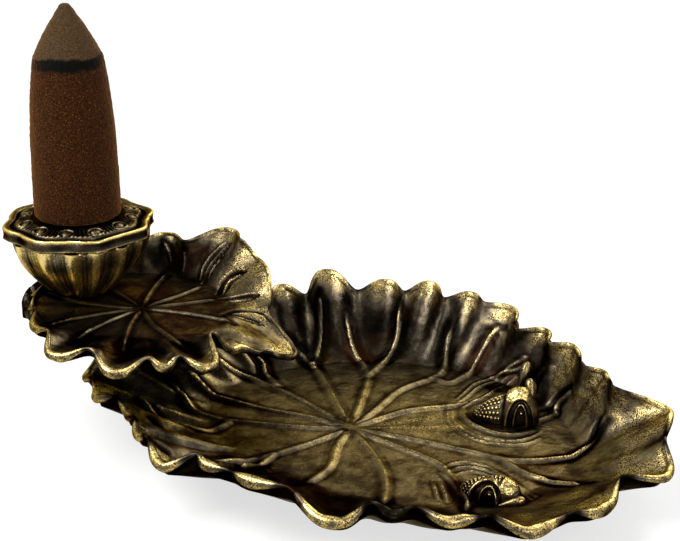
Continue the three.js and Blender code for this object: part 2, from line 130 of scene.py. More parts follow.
def antiqueBrass(name, look):
    material = newMaterial(name)
    place = addNode(material, "ShaderNodeTexCoord", {}, {})
    gild = addNode(material, "ShaderNodeAttribute", {"attribute_name": "gild"}, {})
    noises = {}
    for key, (size, detail, roughness) in look["patterns"].items():
        noises[key] = addNode(material, "ShaderNodeTexNoise", {}, {
            "Vector": (place, "Object"), "Scale": 1 / (size * mm), "Detail": detail, "Roughness": roughness})
    share = addNode(material, "ShaderNodeMapRange", {}, {
        0: (gild, "Fac"), (1, 2): look["grainAt"], (3, 4): look["grainShare"]})
    polish = addNode(material, "ShaderNodeMapRange", {}, {
        0: (gild, "Fac"), (1, 2): look["polishAt"], (3, 4): (1, look["polish"])})
    share = addNode(material, "ShaderNodeMath", {"operation": "MULTIPLY"}, {0: (share, 0), 1: (polish, 0)})
    speck = addNode(material, "ShaderNodeMapRange", {}, {
        0: (noises["grain"], 0), (1, 2): look["speckFrom"], (3, 4): look["speckTo"]})
    patch = addNode(material, "ShaderNodeMapRange", {}, {
        0: (noises["cloud"], 0), (1, 2): look["cloudFrom"], (3, 4): (-1, 1)})
    tone = addNode(material, "ShaderNodeMath", {"operation": "MULTIPLY_ADD"}, {
        0: (speck, 0), 1: (share, 0), 2: (gild, "Fac")})
    tone = addNode(material, "ShaderNodeMath", {"operation": "MULTIPLY_ADD", "use_clamp": True}, {
        0: (patch, 0), 1: look["cloudShare"], 2: (tone, 0)})
    colour = addNode(material, "ShaderNodeValToRGB", {}, {0: (tone, 0)})
    fillRamp(colour, look["stops"])
    # Painted reflection: reddish patches over the dark brass
    redReflection = addNode(material, "ShaderNodeMapRange", {}, {
        0: (noises["redReflection"], 0), (1, 2): look["redReflectionFrom"], (3, 4): (0, look["redReflectionMost"])})
    dark = addNode(material, "ShaderNodeMapRange", {}, {
        0: (tone, 0), (1, 2): look["redReflectionBelow"], (3, 4): (1, 0)})
    redReflection = addNode(material, "ShaderNodeMath", {"operation": "MULTIPLY"}, {0: (redReflection, 0), 1: (dark, 0)})
    colour = addNode(material, "ShaderNodeMix", {"data_type": "RGBA"}, {
        0: (redReflection, 0), 6: (colour, 0), 7: srgb(look["redReflectionColour"])})
    rough = addNode(material, "ShaderNodeMapRange", {}, {0: (tone, 0), (3, 4): look["roughness"]})
    dented = addNode(material, "ShaderNodeBump", {}, {
        "Strength": look["bump"], "Distance": look["dentDeep"] * mm, "Height": (noises["dent"], 0)})
    bump = addNode(material, "ShaderNodeBump", {}, {
        "Strength": look["bump"], "Distance": look["grainDeep"] * mm, "Height": (noises["grain"], 0),
        "Normal": (dented, 0)})
    shader = addNode(material, "ShaderNodeBsdfPrincipled", {}, {
        "Base Color": (colour, 2), "Roughness": (rough, 0), "Metallic": 1.0, "Normal": (bump, 0),
        "Specular Tint": srgb(look["edgeTint"])})
    addNode(material, "ShaderNodeOutputMaterial", {}, {0: (shader, 0)})
    return material


# Pressed wood powder and resin: matt and grainy, grey ash above a charred ring. The grain and the flecks are
# drawn coarser than they are so that they show. Sizes are in millimetres
coneLook = {
    "body": "#0e0501", "bodyWarm": "#40220c", "flecks": "#9a6830",
    "ash": "#4e3c27", "ashDark": "#2b1f12", "char": "#050706", "dust": "#cc8834",
    "grain": 0.26, "grainFrom": (0.35, 0.68), "grainDeep": 0.12, "bump": 0.6,
    "fleck": 0.34, "fleckFrom": (0.24, 0.04), "fleckMost": 0.62,
    "cloud": 4, "wander": 2.2,        # how far the burnt edge wanders up and down
    "ashFade": (-0.1, 0.25), "charFade": (-0.5, 0),
    "roughness": 0.92, "shine": 0.06, "dustShare": 0.5, "dustRoughness": 0.32,
}


def pressedIncense(name, look, ringTop, ringHigh):
    material = newMaterial(name)
    place = addNode(material, "ShaderNodeTexCoord", {}, {})
    split = addNode(material, "ShaderNodeSeparateXYZ", {}, {0: (place, "Object")})
    grain = addNode(material, "ShaderNodeTexNoise", {}, {
        "Vector": (place, "Object"), "Scale": 1 / (look["grain"] * mm), "Detail": 3.0, "Roughness": 0.7})
    fleck = addNode(material, "ShaderNodeTexVoronoi", {}, {
        "Vector": (place, "Object"), "Scale": 1 / (look["fleck"] * mm)})
    cloud = addNode(material, "ShaderNodeTexNoise", {}, {
        "Vector": (place, "Object"), "Scale": 1 / (look["cloud"] * mm), "Detail": 3.0})
    grainy = addNode(material, "ShaderNodeMapRange", {}, {0: (grain, 0), (1, 2): look["grainFrom"]})
    body = addNode(material, "ShaderNodeMix", {"data_type": "RGBA"}, {
        0: (grainy, 0), 6: srgb(look["body"]), 7: srgb(look["bodyWarm"])})
    spot = addNode(material, "ShaderNodeMapRange", {}, {
        0: (fleck, "Distance"), (1, 2): look["fleckFrom"], (3, 4): (0, look["fleckMost"])})
    body = addNode(material, "ShaderNodeMix", {"data_type": "RGBA"}, {
        0: (spot, 0), 6: (body, 2), 7: srgb(look["flecks"])})
    ash = addNode(material, "ShaderNodeMix", {"data_type": "RGBA"}, {
        0: (grainy, 0), 6: srgb(look["ashDark"]), 7: srgb(look["ash"])})
    edge = addNode(material, "ShaderNodeMath", {"operation": "MULTIPLY_ADD"}, {
        0: (cloud, 0), 1: look["wander"] * mm, 2: (split, 2)})
    burnt = addNode(material, "ShaderNodeMapRange", {}, {
        0: (edge, 0), (1, 2): [(ringTop + fade) * mm for fade in look["ashFade"]]})
    charred = addNode(material, "ShaderNodeMapRange", {}, {
        0: (edge, 0), (1, 2): [(ringTop - ringHigh + fade) * mm for fade in look["charFade"]]})
    lower = addNode(material, "ShaderNodeMix", {"data_type": "RGBA"}, {
        0: (charred, 0), 6: (body, 2), 7: srgb(look["char"])})
    colour = addNode(material, "ShaderNodeMix", {"data_type": "RGBA"}, {
        0: (burnt, 0), 6: (lower, 2), 7: (ash, 2)})
    bump = addNode(material, "ShaderNodeBump", {}, {
        "Strength": look["bump"], "Distance": look["grainDeep"] * mm, "Height": (grain, 0)})
    shader = addNode(material, "ShaderNodeBsdfPrincipled", {}, {
        "Base Color": (colour, 2), "Roughness": look["roughness"], "Normal": (bump, 0),
        "Specular IOR Level": look["shine"], "Sheen Weight": look["dustShare"],
        "Sheen Roughness": look["dustRoughness"], "Sheen Tint": srgb(look["dust"])})
    addNode(material, "ShaderNodeOutputMaterial", {}, {0: (shader, 0)})
    return material


# Zinc-plated steel: cool grey, turned and a little hazy
zincLook = {"haze": 0.9, "dark": "#80858a", "pale": "#b9bdbf", "roughness": (0.26, 0.48)}


def zincPlate(name, look):
    material = newMaterial(name)
    place = addNode(material, "ShaderNodeTexCoord", {}, {})
    haze = addNode(material, "ShaderNodeTexNoise", {}, {
        "Vector": (place, "Object"), "Scale": 1 / (look["haze"] * mm), "Detail": 4.0})
    colour = addNode(material, "ShaderNodeMix", {"data_type": "RGBA"}, {
        0: (haze, 0), 6: srgb(look["dark"]), 7: srgb(look["pale"])})
    rough = addNode(material, "ShaderNodeMapRange", {}, {0: (haze, 0), (3, 4): look["roughness"]})
    shader = addNode(material, "ShaderNodeBsdfPrincipled", {}, {
        "Base Color": (colour, 2), "Metallic": 1.0, "Roughness": (rough, 0)})
    addNode(material, "ShaderNodeOutputMaterial", {}, {0: (shader, 0)})
    return material


leafBrass = antiqueBrass("antiqueBrassLeaf", brassLook)
podBrass = antiqueBrass("antiqueBrassPod", dict(brassLook, grainShare=(0.05, 0.22)))
screwZinc = zincPlate("zincPlatedSteel", zincLook)
print("materials made")


# Mesh helpers: a grid whose points a formula places, and shared finishing
mergeAt = 0.002 * mm  # points nearer than this become one


def gridPiece(name, points, layers):
    rows, columns = points.shape[0] - 1, points.shape[1] - 1
    bm = bmesh.new()
    bmesh.ops.create_grid(bm, x_segments=columns, y_segments=rows, size=0.5)
    mesh = bpy.data.meshes.new(name)
    bm.to_mesh(mesh)
    bm.free()
    flat = np.empty(len(mesh.vertices) * 3)
    mesh.vertices.foreach_get("co", flat)
    flat = flat.reshape(-1, 3)
    column = np.rint((flat[:, 0] + 0.5) * columns).astype(int)
    row = np.rint((flat[:, 1] + 0.5) * rows).astype(int)
    mesh.vertices.foreach_set("co", (points[row, column] * mm).ravel())
    for layerName, values in layers.items():
        layer = mesh.attributes.new(layerName, "FLOAT", "POINT")
        layer.data.foreach_set("value", values[row, column].astype(np.float32))
    return finishMesh(name, mesh)


# Closes seams and poles, turns the faces outwards and smooths them
def finishMesh(name, mesh):
    bm = bmesh.new()
    bm.from_mesh(mesh)
    bmesh.ops.remove_doubles(bm, verts=bm.verts, dist=mergeAt)
    bmesh.ops.recalc_face_normals(bm, faces=bm.faces)
    for face in bm.faces:
        face.smooth = True
    bm.to_mesh(mesh)
    bm.free()
    piece = bpy.data.objects.new(name, mesh)
    bpy.context.scene.collection.objects.link(piece)
    return piece


def pieceFrom(bm, name):
    mesh = bpy.data.meshes.new(name)
    bm.to_mesh(mesh)
    bm.free()
    return finishMesh(name, mesh)


# How sharply a surface stands out, per metre: above 0 on edges and ridges, below 0 in grooves
def outwardBend(mesh, rounds):
    count = len(mesh.vertices)
    co, normal = np.empty(count * 3), np.empty(count * 3)
    ends = np.empty(len(mesh.edges) * 2, dtype=np.int64)
    mesh.vertices.foreach_get("co", co)
    mesh.vertices.foreach_get("normal", normal)
    mesh.edges.foreach_get("vertices", ends)
    co, normal, ends = co.reshape(-1, 3), normal.reshape(-1, 3), ends.reshape(-1, 2)
    a, b = ends[:, 0], ends[:, 1]
    step = co[b] - co[a]
    length = np.maximum(np.linalg.norm(step, axis=1), 1e-7)
    total, weights = np.zeros(count), np.zeros(count)
    for end, factor in ((a, -2), (b, 2)):
        np.add.at(total, end, factor * (step * normal[end]).sum(1) / length)
        np.add.at(weights, end, length)
    bend = total / np.maximum(weights, 1e-9)
    for _ in range(rounds):
        total, weights = bend.copy(), np.ones(count)
        for end, other in ((a, b), (b, a)):
            np.add.at(total, end, bend[other])
            np.add.at(weights, end, 1)
        bend = total / weights
    return bend


# Rubbed edges bright and hollows dark, on top of what the piece already has of its own. A bend as tight
# as the radius, in millimetres, gets most of the gain
def gildByShape(piece, gain, radius, rounds=2):
    mesh = piece.data
    layer = mesh.attributes["gild"]
    values = np.empty(len(mesh.vertices))
    layer.data.foreach_get("value", values)
    values += gain * np.tanh(outwardBend(mesh, rounds) * radius * mm)
    layer.data.foreach_set("value", np.clip(values, 0, 1).astype(np.float32))


def smoothStep(x, low, high):
    t = np.clip((x - low) / (high - low), 0, 1)
    return t * t * (3 - 2 * t)


# A rounded bump: 1 in the middle, nearly gone at twice its width
def hill(distance, width):
    return np.exp(-(distance / width) ** 2)


# The first of a pair, and the second more for each 1 of t
def growing(pair, t):
    return pair[0] + pair[1] * t


# Degrees from a direction to each angle, from -180 to 180
def turnFrom(angle, direction):
    return (np.degrees(angle) - direction + 180) % 360 - 180


# Points round a centre, for numbers or arrays of radius, angle and height
def pointsRound(centre, radius, angle, height):
    x = centre[0] + radius * np.cos(angle)
    return np.stack([x, centre[1] + radius * np.sin(angle), height + 0 * x], -1)


# The leaves. Each rim row is a lobe's crest (angle, reach, rise over the floor) and the pinch after it.
# Veins, creases, folds and slits are drawn by (angle, share): 0 to 1 over the floor, 1 to 2 up the wall.
# A crease is cut, a fold is a ridge with a groove on each side, and a slit is a dark leaf-shaped hollow
# with a bright ridge along it. Rings are ripples on the floor, by (x, y). The first number of a fold, slit
# or ring is its width. flutes, waveBend, rubbed and wallTone are rows of (angle, value): the depth of the
# flutes between the lobes, how late up the wall the lobes start, the breadth of the rubbed band under the
# lip, and how rubbed the wall is below it. On the large leaf's left, where the small leaf shades the wall,
# rubbed and wallTone are raised as painted light. crestTone is how rubbed the wall is at a crest, and
# pinchRub how much of the lip's brightness is left between the crests
largeLeaf = {
    "centre": (0, 0), "underside": 1, "floorSheet": 1.8, "rimSheet": 1.3, "floorLong": 28.5,
    "floorWide": 21.4, "floorShift": (5, 4.2), "bowl": 1.5, "lipDroop": 0.3, "lipStart": 0.75,
    "footInset": 1.5, "footWidth": 2.6, "hubPad": 5,
    "columns": 530, "floorRows": 92, "wallRows": 54, "beadRows": 11, "underRows": 12,
    "bead": (0.26, 0.46), "frontBead": (0.24, 0.86), "ruffle": 0.1, "crisp": 1.35,
    "flutes": [(-170, 0.9), (-60, 0.9), (-25, 0.2), (42, 0.2), (62, 0.8), (190, 0.9)],
    "waveBend": [(-170, 2), (-60, 2), (-25, 4), (50, 4), (70, 2), (190, 2)],
    # From 160 to 190 degrees, under the small leaf, the band is broader and the wall lighter: painted light
    # against the small leaf's shade
    "rubbed": [(-170, 5), (-110, 3.6), (-60, 4.5), (-30, 7), (-8, 9.5), (15, 9.5), (40, 8), (62, 6.5),
               (85, 4.4), (110, 3.6), (145, 3.4), (165, 6), (190, 5)],
    "wallTone": [(-170, 0.5), (-100, 0.2), (-50, 0.25), (-30, 0.42), (-10, 0.4), (20, 0.34), (45, 0.28),
                 (75, 0.26), (105, 0.21), (140, 0.27), (160, 0.52), (190, 0.5)],
    "closerAt": 5, "closerBy": 0.22,  # columns crowd round this direction, where the fish are
    "floorTone": (0.47, 0.38), "dullLip": (296, 307), "pinchRub": 0.2, "crestTone": 0.65,
    # Painted shade round the fish and the fins, where they shade the leaf: middle, turn and half sizes
    "fishShade": [((20.8, 11.8), 8, (5.7, 3.2)), ((25.9, -11.8), -6, (5.4, 3.2)), ((22.6, 22.4), 110, (4.2, 2)),
                ((18, 23.2), 20, (3.4, 1.9))],
    "rim": [
        (-5, 50.2, 5.1, 2.5, 47.8, 7), (9.8, 48.2, 8.1, 18.5, 39.6, 8.7), (24.5, 39.4, 9, 29.5, 36.3, 8.7),
        (40, 37.6, 9.2, 45, 34.6, 8.7), (50.5, 36.6, 9.4, 56.5, 32.8, 8.8), (67, 37.8, 9.8, 74, 36.8, 9.2),
        (80, 38.9, 9.7, 85, 35, 9.1), (92, 39.6, 10, 97, 35, 9.2), (103, 38.4, 10, 110.5, 34.2, 9.2),
        (119, 39.8, 11.2, 126.5, 32.6, 9.4), (131.5, 37.4, 10, 137, 35, 9.5),
        (143.5, 38.4, 9.8, 149.5, 36.2, 9.6), (155.5, 39.8, 9.4, 161, 37.8, 9.4),
        (167, 41.4, 8.8, 173, 39.8, 9), (180, 42.8, 7.7, 185, 41.6, 7.8), (191, 43.2, 5.4, 197, 40.2, 6.4),
        (202.5, 39.6, 6.2, 210.5, 35.4, 7.4), (217, 34.6, 7.1, 223, 33.8, 7.5),
        (228.5, 34.6, 6.9, 233.5, 34, 7.4), (243.5, 35.4, 6.2, 250, 31.6, 7.6),
        (254, 32.4, 7.4, 261, 31.9, 7.2), (269, 33.1, 7.5, 277, 33, 7.4),
        (290, 38.5, 6.1, 297.3, 36, 7.3), (301.8, 37.3, 6.5, 305.5, 37, 6.8),
        (312.5, 40.9, 6.4, 318, 41.3, 6.3), (325, 45.6, 5.1, 332.5, 45.1, 5.1),
        (339.5, 47, 4.7, 348.5, 45, 5.4),
    ],
    "veinHeight": 0.34, "veinWidth": 1.0, "veinRub": 0.01, "veins": [
        [(127, 0.02), (127, 0.2), (127, 0.43), (127, 0.7), (128, 0.98), (131, 1.27), (133, 1.5)],
        [(128, 0.98), (124, 1.27), (122, 1.5), (121, 1.85)],
        [(103, 0.02), (103, 0.1), (103, 0.48), (104, 0.77), (110, 1.1), (113, 1.45), (114, 1.85)],
        [(104, 0.77), (99, 1.06), (97, 1.41), (98, 1.9)],
        [(78, 0.02), (78, 0.1), (82, 0.4), (82, 0.6), (76, 0.84), (78, 1.08), (81, 1.46), (82, 1.88)],
        [(76, 0.84), (68, 0.82), (68, 0.97), (69, 1.44), (68, 1.72), (65, 1.79)],
        [(58, 0.02), (58, 0.15), (58, 0.33), (50, 0.53), (47, 0.68)],
        [(2, 0.02), (2, 0.1), (2, 0.24), (0, 0.48), (-1, 0.71), (1, 0.83), (4.5, 0.94), (8.5, 1.05),
         (12, 1.2), (14.5, 1.38), (15.5, 1.58)],
        [(-1, 0.71), (-7, 0.9), (-8, 1.23), (-7, 1.41)],
        [(-18, 0.02), (-18, 0.1), (-18, 0.5), (-23, 0.68), (-28, 0.85), (-35, 1.15), (-36, 1.3)],
        [(-45, 0.02), (-45, 0.1), (-45, 0.24), (-48, 0.58), (-55, 0.99), (-57, 1.3)],
        [(-89, 0.02), (-89, 0.1), (-85, 0.4), (-81, 0.67), (-89, 1.15)],
        [(243, 0.02), (243, 0.1), (243, 0.37), (241, 0.69), (239, 1.07), (238, 1.5)],
        [(241, 0.9), (248, 1.2), (251, 1.5)],
        [(202, 0.02), (202, 0.22), (197, 0.65), (196, 0.84), (194, 0.96), (190, 1.12), (180, 1.37),
         (177, 1.6)],
        [(196, 0.84), (204, 1.0), (208, 1.2), (204, 1.45), (193, 1.65)],
        [(172, 0.02), (172, 0.23), (177, 0.59), (176, 0.98), (175, 1.1), (173, 1.3), (171, 1.6)],
        [(151, 0.02), (151, 0.1), (151, 0.43), (153, 0.73), (155, 1.02), (160, 1.38), (162, 1.6)],
        [(151, 0.81), (147, 1.1), (146, 1.22), (148, 1.5)],
    ],
    "creases": [[(212, 1.75), (218, 1.6)], [(234, 1.97), (239, 1.8)],
                [(33, 0.92), (35.5, 1.0), (36, 1.34), (31.5, 1.74)], [(12, 1.16), (17, 1.42), (18, 1.72)]],
    "rings": [
        (0.5, [(13.6, 13.3), (14.4, 11), (16.2, 8.9), (18.6, 7.6), (21.4, 7.1), (24, 8), (25.6, 10)]),
        (0.27, [(12.3, 12), (13.4, 9), (15.8, 6.5), (19.2, 4.9), (22.6, 4.9), (25.1, 6.3), (26.9, 9.3),
                (27.1, 11.5)]),
        (0.27, [(11.6, 12.5), (12.6, 8.9), (15.6, 5.4), (19.4, 3.7), (22.8, 3.8), (26, 5.4), (27.6, 8.2)]),
        (0.28, [(13.5, 13.6), (14.2, 15.1), (16, 18.2)]),
        (0.32, [(17.5, -6.3), (17.8, -4.9), (19.3, -3.6), (21.9, -3.4), (25.2, -4.8), (28.1, -6.6),
                (32, -9.6)]),
        (0.32, [(18.4, -7.2), (19, -5.7), (20.7, -4.6), (23, -4.6), (26.1, -5.9), (28.7, -7.6),
                (31.6, -10.7)]),
        (0.28, [(19.5, -7.7), (20.2, -6.6), (21.9, -5.8), (24.8, -6.4), (28.5, -9)]),
        (0.32, [(17.3, -8), (19.5, -9.9), (21.1, -12.3), (22.6, -15.4)]),
        (0.28, [(18.2, -10.6), (19.7, -13), (20.9, -15.4)]),
        (0.26, [(17.3, -11), (18.6, -13.4), (19.6, -15.4)]),
    ],
    "folds": [
        (0.3, [(48, 0.62), (49, 0.67), (48, 0.71), (51, 0.84), (54, 0.98), (53, 1.27)]),
        (0.32, [(51, 0.66), (53, 0.71), (58, 0.9), (58, 1.2), (53, 1.45)]),
        (0.34, [(54, 0.68), (57, 0.76), (61, 0.95), (57, 1.34), (53, 1.61)]),
        (0.5, [(24, 0.8), (26.5, 0.86), (29.5, 0.93), (32.2, 1.02), (33.8, 1.14), (34, 1.3), (32.5, 1.52)]),
        (0.34, [(44, 1.06), (46, 1.36), (45, 1.62)]),
    ],
    "slits": [],
}

smallLeaf = {
    "centre": (-34, -3), "underside": 16.6, "floorSheet": 1.6, "rimSheet": 1.2, "floorLong": 16.8,
    "floorWide": 12.5, "floorShift": (-1.8, 1.5), "bowl": 1.4, "lipDroop": 0.25, "lipStart": 0.75,
    "footWidth": 0, "columns": 460, "floorRows": 44, "wallRows": 52, "beadRows": 11, "underRows": 14,
    "bead": (0.24, 0.42), "frontBead": (0.28, 0.74), "ruffle": 0.12, "crisp": 1.35,
    "flutes": [(-170, 0.6), (-20, 0.4), (15, 0.1), (66, 0.1), (85, 0.6), (190, 0.6)],
    "waveBend": [(-170, 2), (0, 2), (30, 4.5), (62, 4.5), (85, 2), (190, 2)],
    "rubbed": [(-170, 3), (-110, 2.8), (-45, 2.8), (-20, 3.6), (10, 3.6), (35, 2.6), (58, 2.8), (75, 3),
               (110, 3.2), (190, 3)],
    "wallTone": [(-170, 0.32), (-60, 0.18), (-10, 0.38), (10, 0.47), (20, 0.51), (58, 0.5), (70, 0.26),
                 (90, 0.2), (120, 0.16), (190, 0.36)],
    "closerAt": 0, "closerBy": 0, "floorTone": (0.36, 0.34), "dullLip": (-2, 14), "pinchRub": 0.62,
    "crestTone": 0.54, "fishShade": [],
    "rim": [
        (8.5, 25.6, -4.8, 20, 20.4, -0.4), (52, 21.4, 4.5, 66, 20.9, 6.4), (78, 23.2, 6.8, 95, 18, 5.2),
        (108, 21.8, 5.2, 118, 20.2, 4.6), (127, 21.6, 4, 136, 20.2, 3.6), (147, 20.8, 1.6, 156, 20.1, 1),
        (166, 20.2, 0.9, 177, 18.8, 0.9), (188, 19, 0.7, 196, 17.7, 1),
        (204, 18, 0.5, 217, 16.6, 1.5), (233, 18.2, 1, 247, 17.8, 1.5), (262, 21.2, 0.2, 277, 19.4, 1.2),
        (291, 23, -0.4, 303, 21.2, 0.8), (308.6, 22.9, 0.1, 314.5, 22.3, 1),
        (323, 25.9, 0.3, 333, 19.4, 2.1), (346, 20.4, -1.2, 356, 22, -3),
    ],
    "veinHeight": 0.26, "veinWidth": 0.6, "veinRub": 0.02, "veins": [
        [(93, 1.2), (93, 1.36), (95, 1.79)],
        [(102, 1.3), (103, 1.42), (106, 1.66), (109, 1.85)],
        [(250, 0.05), (252, 0.5), (256, 1.0), (259, 1.5)], [(283, 0.05), (284, 0.5), (288, 1.0), (291, 1.6)],
        [(312, 0.05), (314, 0.5), (320, 1.0), (323, 1.7)], [(222, 0.05), (224, 0.5), (229, 1.05), (232, 1.6)],
        [(195, 0.05), (190, 0.5), (180, 0.9), (177, 1.2), (176, 1.7)], [(71, 0.05), (68, 0.5), (71, 0.98)],
        [(150, 0.05), (150, 0.5), (148, 1.2), (147, 1.7)], [(40, 0.05), (40, 0.5), (41, 0.88)],
        [(110, 0.05), (107, 0.6), (102, 1.3)], [(12, 0.05), (8, 0.5), (3, 1.08)],
    ],
    "creases": [[(6, 0.85), (19, 0.98), (21, 1.39), (18, 1.82), (14, 1.81)]],
    "rings": [], "folds": [(0.26, [(79, 1.1), (82, 1.36), (81, 1.58), (77, 1.8)])],
    "slits": [
        (0.62, [(73, 0.98), (76, 1.34), (75, 1.56), (73, 1.82)]),
        (1.1, [(50, 0.93), (58, 1.24), (58, 1.45), (54, 1.66)]),
        (1.05, [(41, 0.9), (36, 1.16), (34, 1.37), (33, 1.6)]),
        (0.6, [(14, 0.87), (13, 1.1), (14, 1.36), (14, 1.6)]),
    ],
}

# How the lines on both leaves stand up, in millimetres, and how rubbed or dark they are. climb is where they
# change from floor to wall, and most other pairs are the floor's value and what the wall adds. A fold's
# height is a start and what each millimetre of its width adds, and a slit's edge is a share of its width
leafLines = {
    "vein": {"climb": (0.92, 1.2), "taperFrom": 0.84, "slimmer": 0.36, "high": (1, 0.7), "bright": 0.3,
             "edge": 0.26, "groove": 0.45, "grooveWide": (0.8, 0.6), "deep": (0.06, 0.6),
             "dark": (0.07, 0.34)},
    "crease": {"wide": 0.45, "deep": 0.5, "dark": 0.45},
    "slit": {"edge": (0.65, 1.15), "deep": 0.6, "dark": 0.62, "ridge": 0.19, "high": 0.5, "bright": 0.86},
    "fold": {"climb": (0.95, 1.2), "high": (0.14, 0.5), "highest": 0.34, "bright": (0.1, 0.1),
             "grooveAt": 1.6, "grooveWide": 0.75, "deep": (0.08, 0.14), "dark": (0.1, 0.2),
             "corner": 0.55, "cornerWide": 0.08},
}

# The casting that both leaves share: noise sizes in millimetres, and fades between two shares
leafCast = {
    "floorCrowd": 1.25, "wallEnd": 0.955, "heightSteps": 400,
    "lump": 2.6, "lumpHigh": (0.03, 0.12), "lumpTone": 0.12,
    "ruffle": 1.1, "ruffleFade": (0.1, 0.8), "ruffleLeast": 0.15,
    "fluteEnd": 0.9, "fluteTone": 0.1, "hubFade": (0.01, 0.12), "hubHigh": 0.8,
    "floorFade": (0.3, 0.95), "wallFade": (0.94, 1.14), "cloud": 4.5, "cloudTone": 0.16, "leastBand": 0.25,
    # How far out and how dark the painted shade round the fish and fins is
    "fishShadeFade": (0.95, 1.25), "fishShadeTone": 0.22,
    "lipTurn": (122, -112), "lipInset": 0.39, "lipDrop": (-0.12, 0.62), "lipLump": 1.9, "lipLumpHigh": 0.2,
    # Tone round the lip's roll, by degrees: rubbed brass on top, painted highlights as two bright lines on
    # the outer face with a darker line between, and painted shade underneath
    "lipRubAndPaintedLight": [(-112, 0.04), (-80, 0.14), (-52, 0.62), (-26, 0.54), (0, 0.36), (22, 0.42), (50, 0.64),
                (90, 0.62), (122, 0.54)],
    "lipBest": 1.12, "lipFade": (0.05, 0.75), "lipSpeck": 1.1, "lipSpeckTone": 0.34, "dullFade": 2,
    "front": (-0.3, 0.5), "underFrom": 0.92, "slopeStep": 0.06, "footSoft": 0.25, "footFillet": 0.1,
    # The outside wall's tone at the bottom, what it gains towards the rim, and how much less it gains on the
    # front, which is painted shade
    "outsideToneAndShade": (0.08, 0.42, 0.36), "outsideLump": 3, "outsideLumpTone": 0.3, "beneathTone": 0.1,
}


# A value along rows of (degrees, value), blended between them
def byAngle(rows, angle):
    first = rows[0][0]
    degrees = (np.degrees(angle) - first) % 360 + first
    return np.interp(degrees, *zip(*rows))


def floorTop(leaf):
    return leaf["underside"] + leaf["floorSheet"]


# Reach, rise, waveless reach and crest share of the rim at each angle
def rimAt(leaf, angle):
    rows = leaf["rim"]
    marks = []
    for i, (crest, reach, rise, pinch, pinchReach, pinchRise) in enumerate(rows):
        pinches = (rows[i - 1][4] + pinchReach) / 2
        crests = (reach + rows[(i + 1) % len(rows)][1]) / 2
        marks.append((crest, reach, rise, (reach + pinches) / 2, 1))
        marks.append((pinch, pinchReach, pinchRise, (pinchReach + crests) / 2, 0))
    marks.append((marks[0][0] + 360,) + marks[0][1:])
    marks = np.array(marks)
    degrees = (np.degrees(angle) - marks[0, 0]) % 360 + marks[0, 0]
    i = np.clip(np.searchsorted(marks[:, 0], degrees, side="right") - 1, 0, len(marks) - 2)
    t = (degrees - marks[i, 0]) / (marks[i + 1, 0] - marks[i, 0])
    share = (1 - np.cos(np.pi * t)) / 2
    share = np.where(i % 2 == 0, share ** leaf["crisp"], 1 - (1 - share) ** leaf["crisp"])
    return np.moveaxis(marks[i, 1:] + (marks[i + 1, 1:] - marks[i, 1:]) * share[..., None], -1, 0)


# Radius of the floor at each angle: an oval, shifted from the centre of the veins
def floorEdge(leaf, angle):
    x, y = np.cos(angle), np.sin(angle)
    oval = 1 / np.hypot(x / leaf["floorLong"], y / leaf["floorWide"])
    return oval + leaf["floorShift"][0] * x + leaf["floorShift"][1] * y


# Points of the leaf's upper face; angle and share may be arrays
def leafTop(leaf, angle, share):
    reach, rise, middle, crest = rimAt(leaf, angle)
    floor = floorEdge(leaf, angle)
    reach = reach - leaf["rimSheet"] / 2
    middle = middle - leaf["rimSheet"] / 2
    t = np.maximum(share - 1, 0)
    droop = np.maximum(0, (t - leaf["lipStart"]) / (1 - leaf["lipStart"]))
    wave = (reach - middle) * t ** byAngle(leaf["waveBend"], angle)
    r = np.where(share < 1, floor * share, floor + (middle - floor) * t + wave)
    z = floorTop(leaf) + rise * t ** leaf["bowl"] - leaf["lipDroop"] * crest * droop ** 2
    return pointsRound(leaf["centre"], r, angle, z)


# Height of the leaf's upper face over a point of the plan
def leafHeight(leaf, x, y):
    dx, dy = x - leaf["centre"][0], y - leaf["centre"][1]
    cut = leafTop(leaf, math.atan2(dy, dx), np.linspace(0, 2, leafCast["heightSteps"]))
    out = np.hypot(cut[:, 0] - leaf["centre"][0], cut[:, 1] - leaf["centre"][1])
    return float(np.interp(math.hypot(dx, dy), out, cut[:, 2]))


# A smooth line through a few points
def smoothLine(points, steps):
    p = np.array(points, float)
    p = np.vstack([2 * p[0] - p[1], p, 2 * p[-1] - p[-2]])
    line = []
    for i in range(1, len(p) - 2):
        a, b, c, d = p[i - 1], p[i], p[i + 1], p[i + 2]
        for k in range(steps):
            t = k / steps
            line.append(0.5 * (2 * b + (c - a) * t + (2 * a - 5 * b + 4 * c - d) * t * t
                               + (3 * b - a - 3 * c + d) * t ** 3))
    line.append(p[-2])
    return np.array(line)


# Distance of each point to a line, and how far along the line the nearest place is, from 0 to 1
def nearLine(points, line, within):
    flat = points.reshape(-1, 3)
    distance = np.full(len(flat), 1e3)
    along = np.zeros(len(flat))
    lengths = np.linalg.norm(np.diff(line, axis=0), axis=1)
    total = lengths.sum()
    run = 0
    for a, b, length in zip(line[:-1], line[1:], lengths):
        reach = within + length
        close = np.flatnonzero(np.abs(flat - (a + b) / 2).max(axis=1) < reach)
        offset = flat[close] - a
        t = np.clip(offset @ (b - a) / length ** 2, 0, 1)
        gap = np.linalg.norm(offset - t[:, None] * (b - a), axis=1)
        better = gap < distance[close]
        chosen = close[better]
        distance[chosen] = gap[better]
        along[chosen] = (run + t[better] * length) / total
        run += length
    return distance.reshape(points.shape[:-1]), along.reshape(points.shape[:-1])


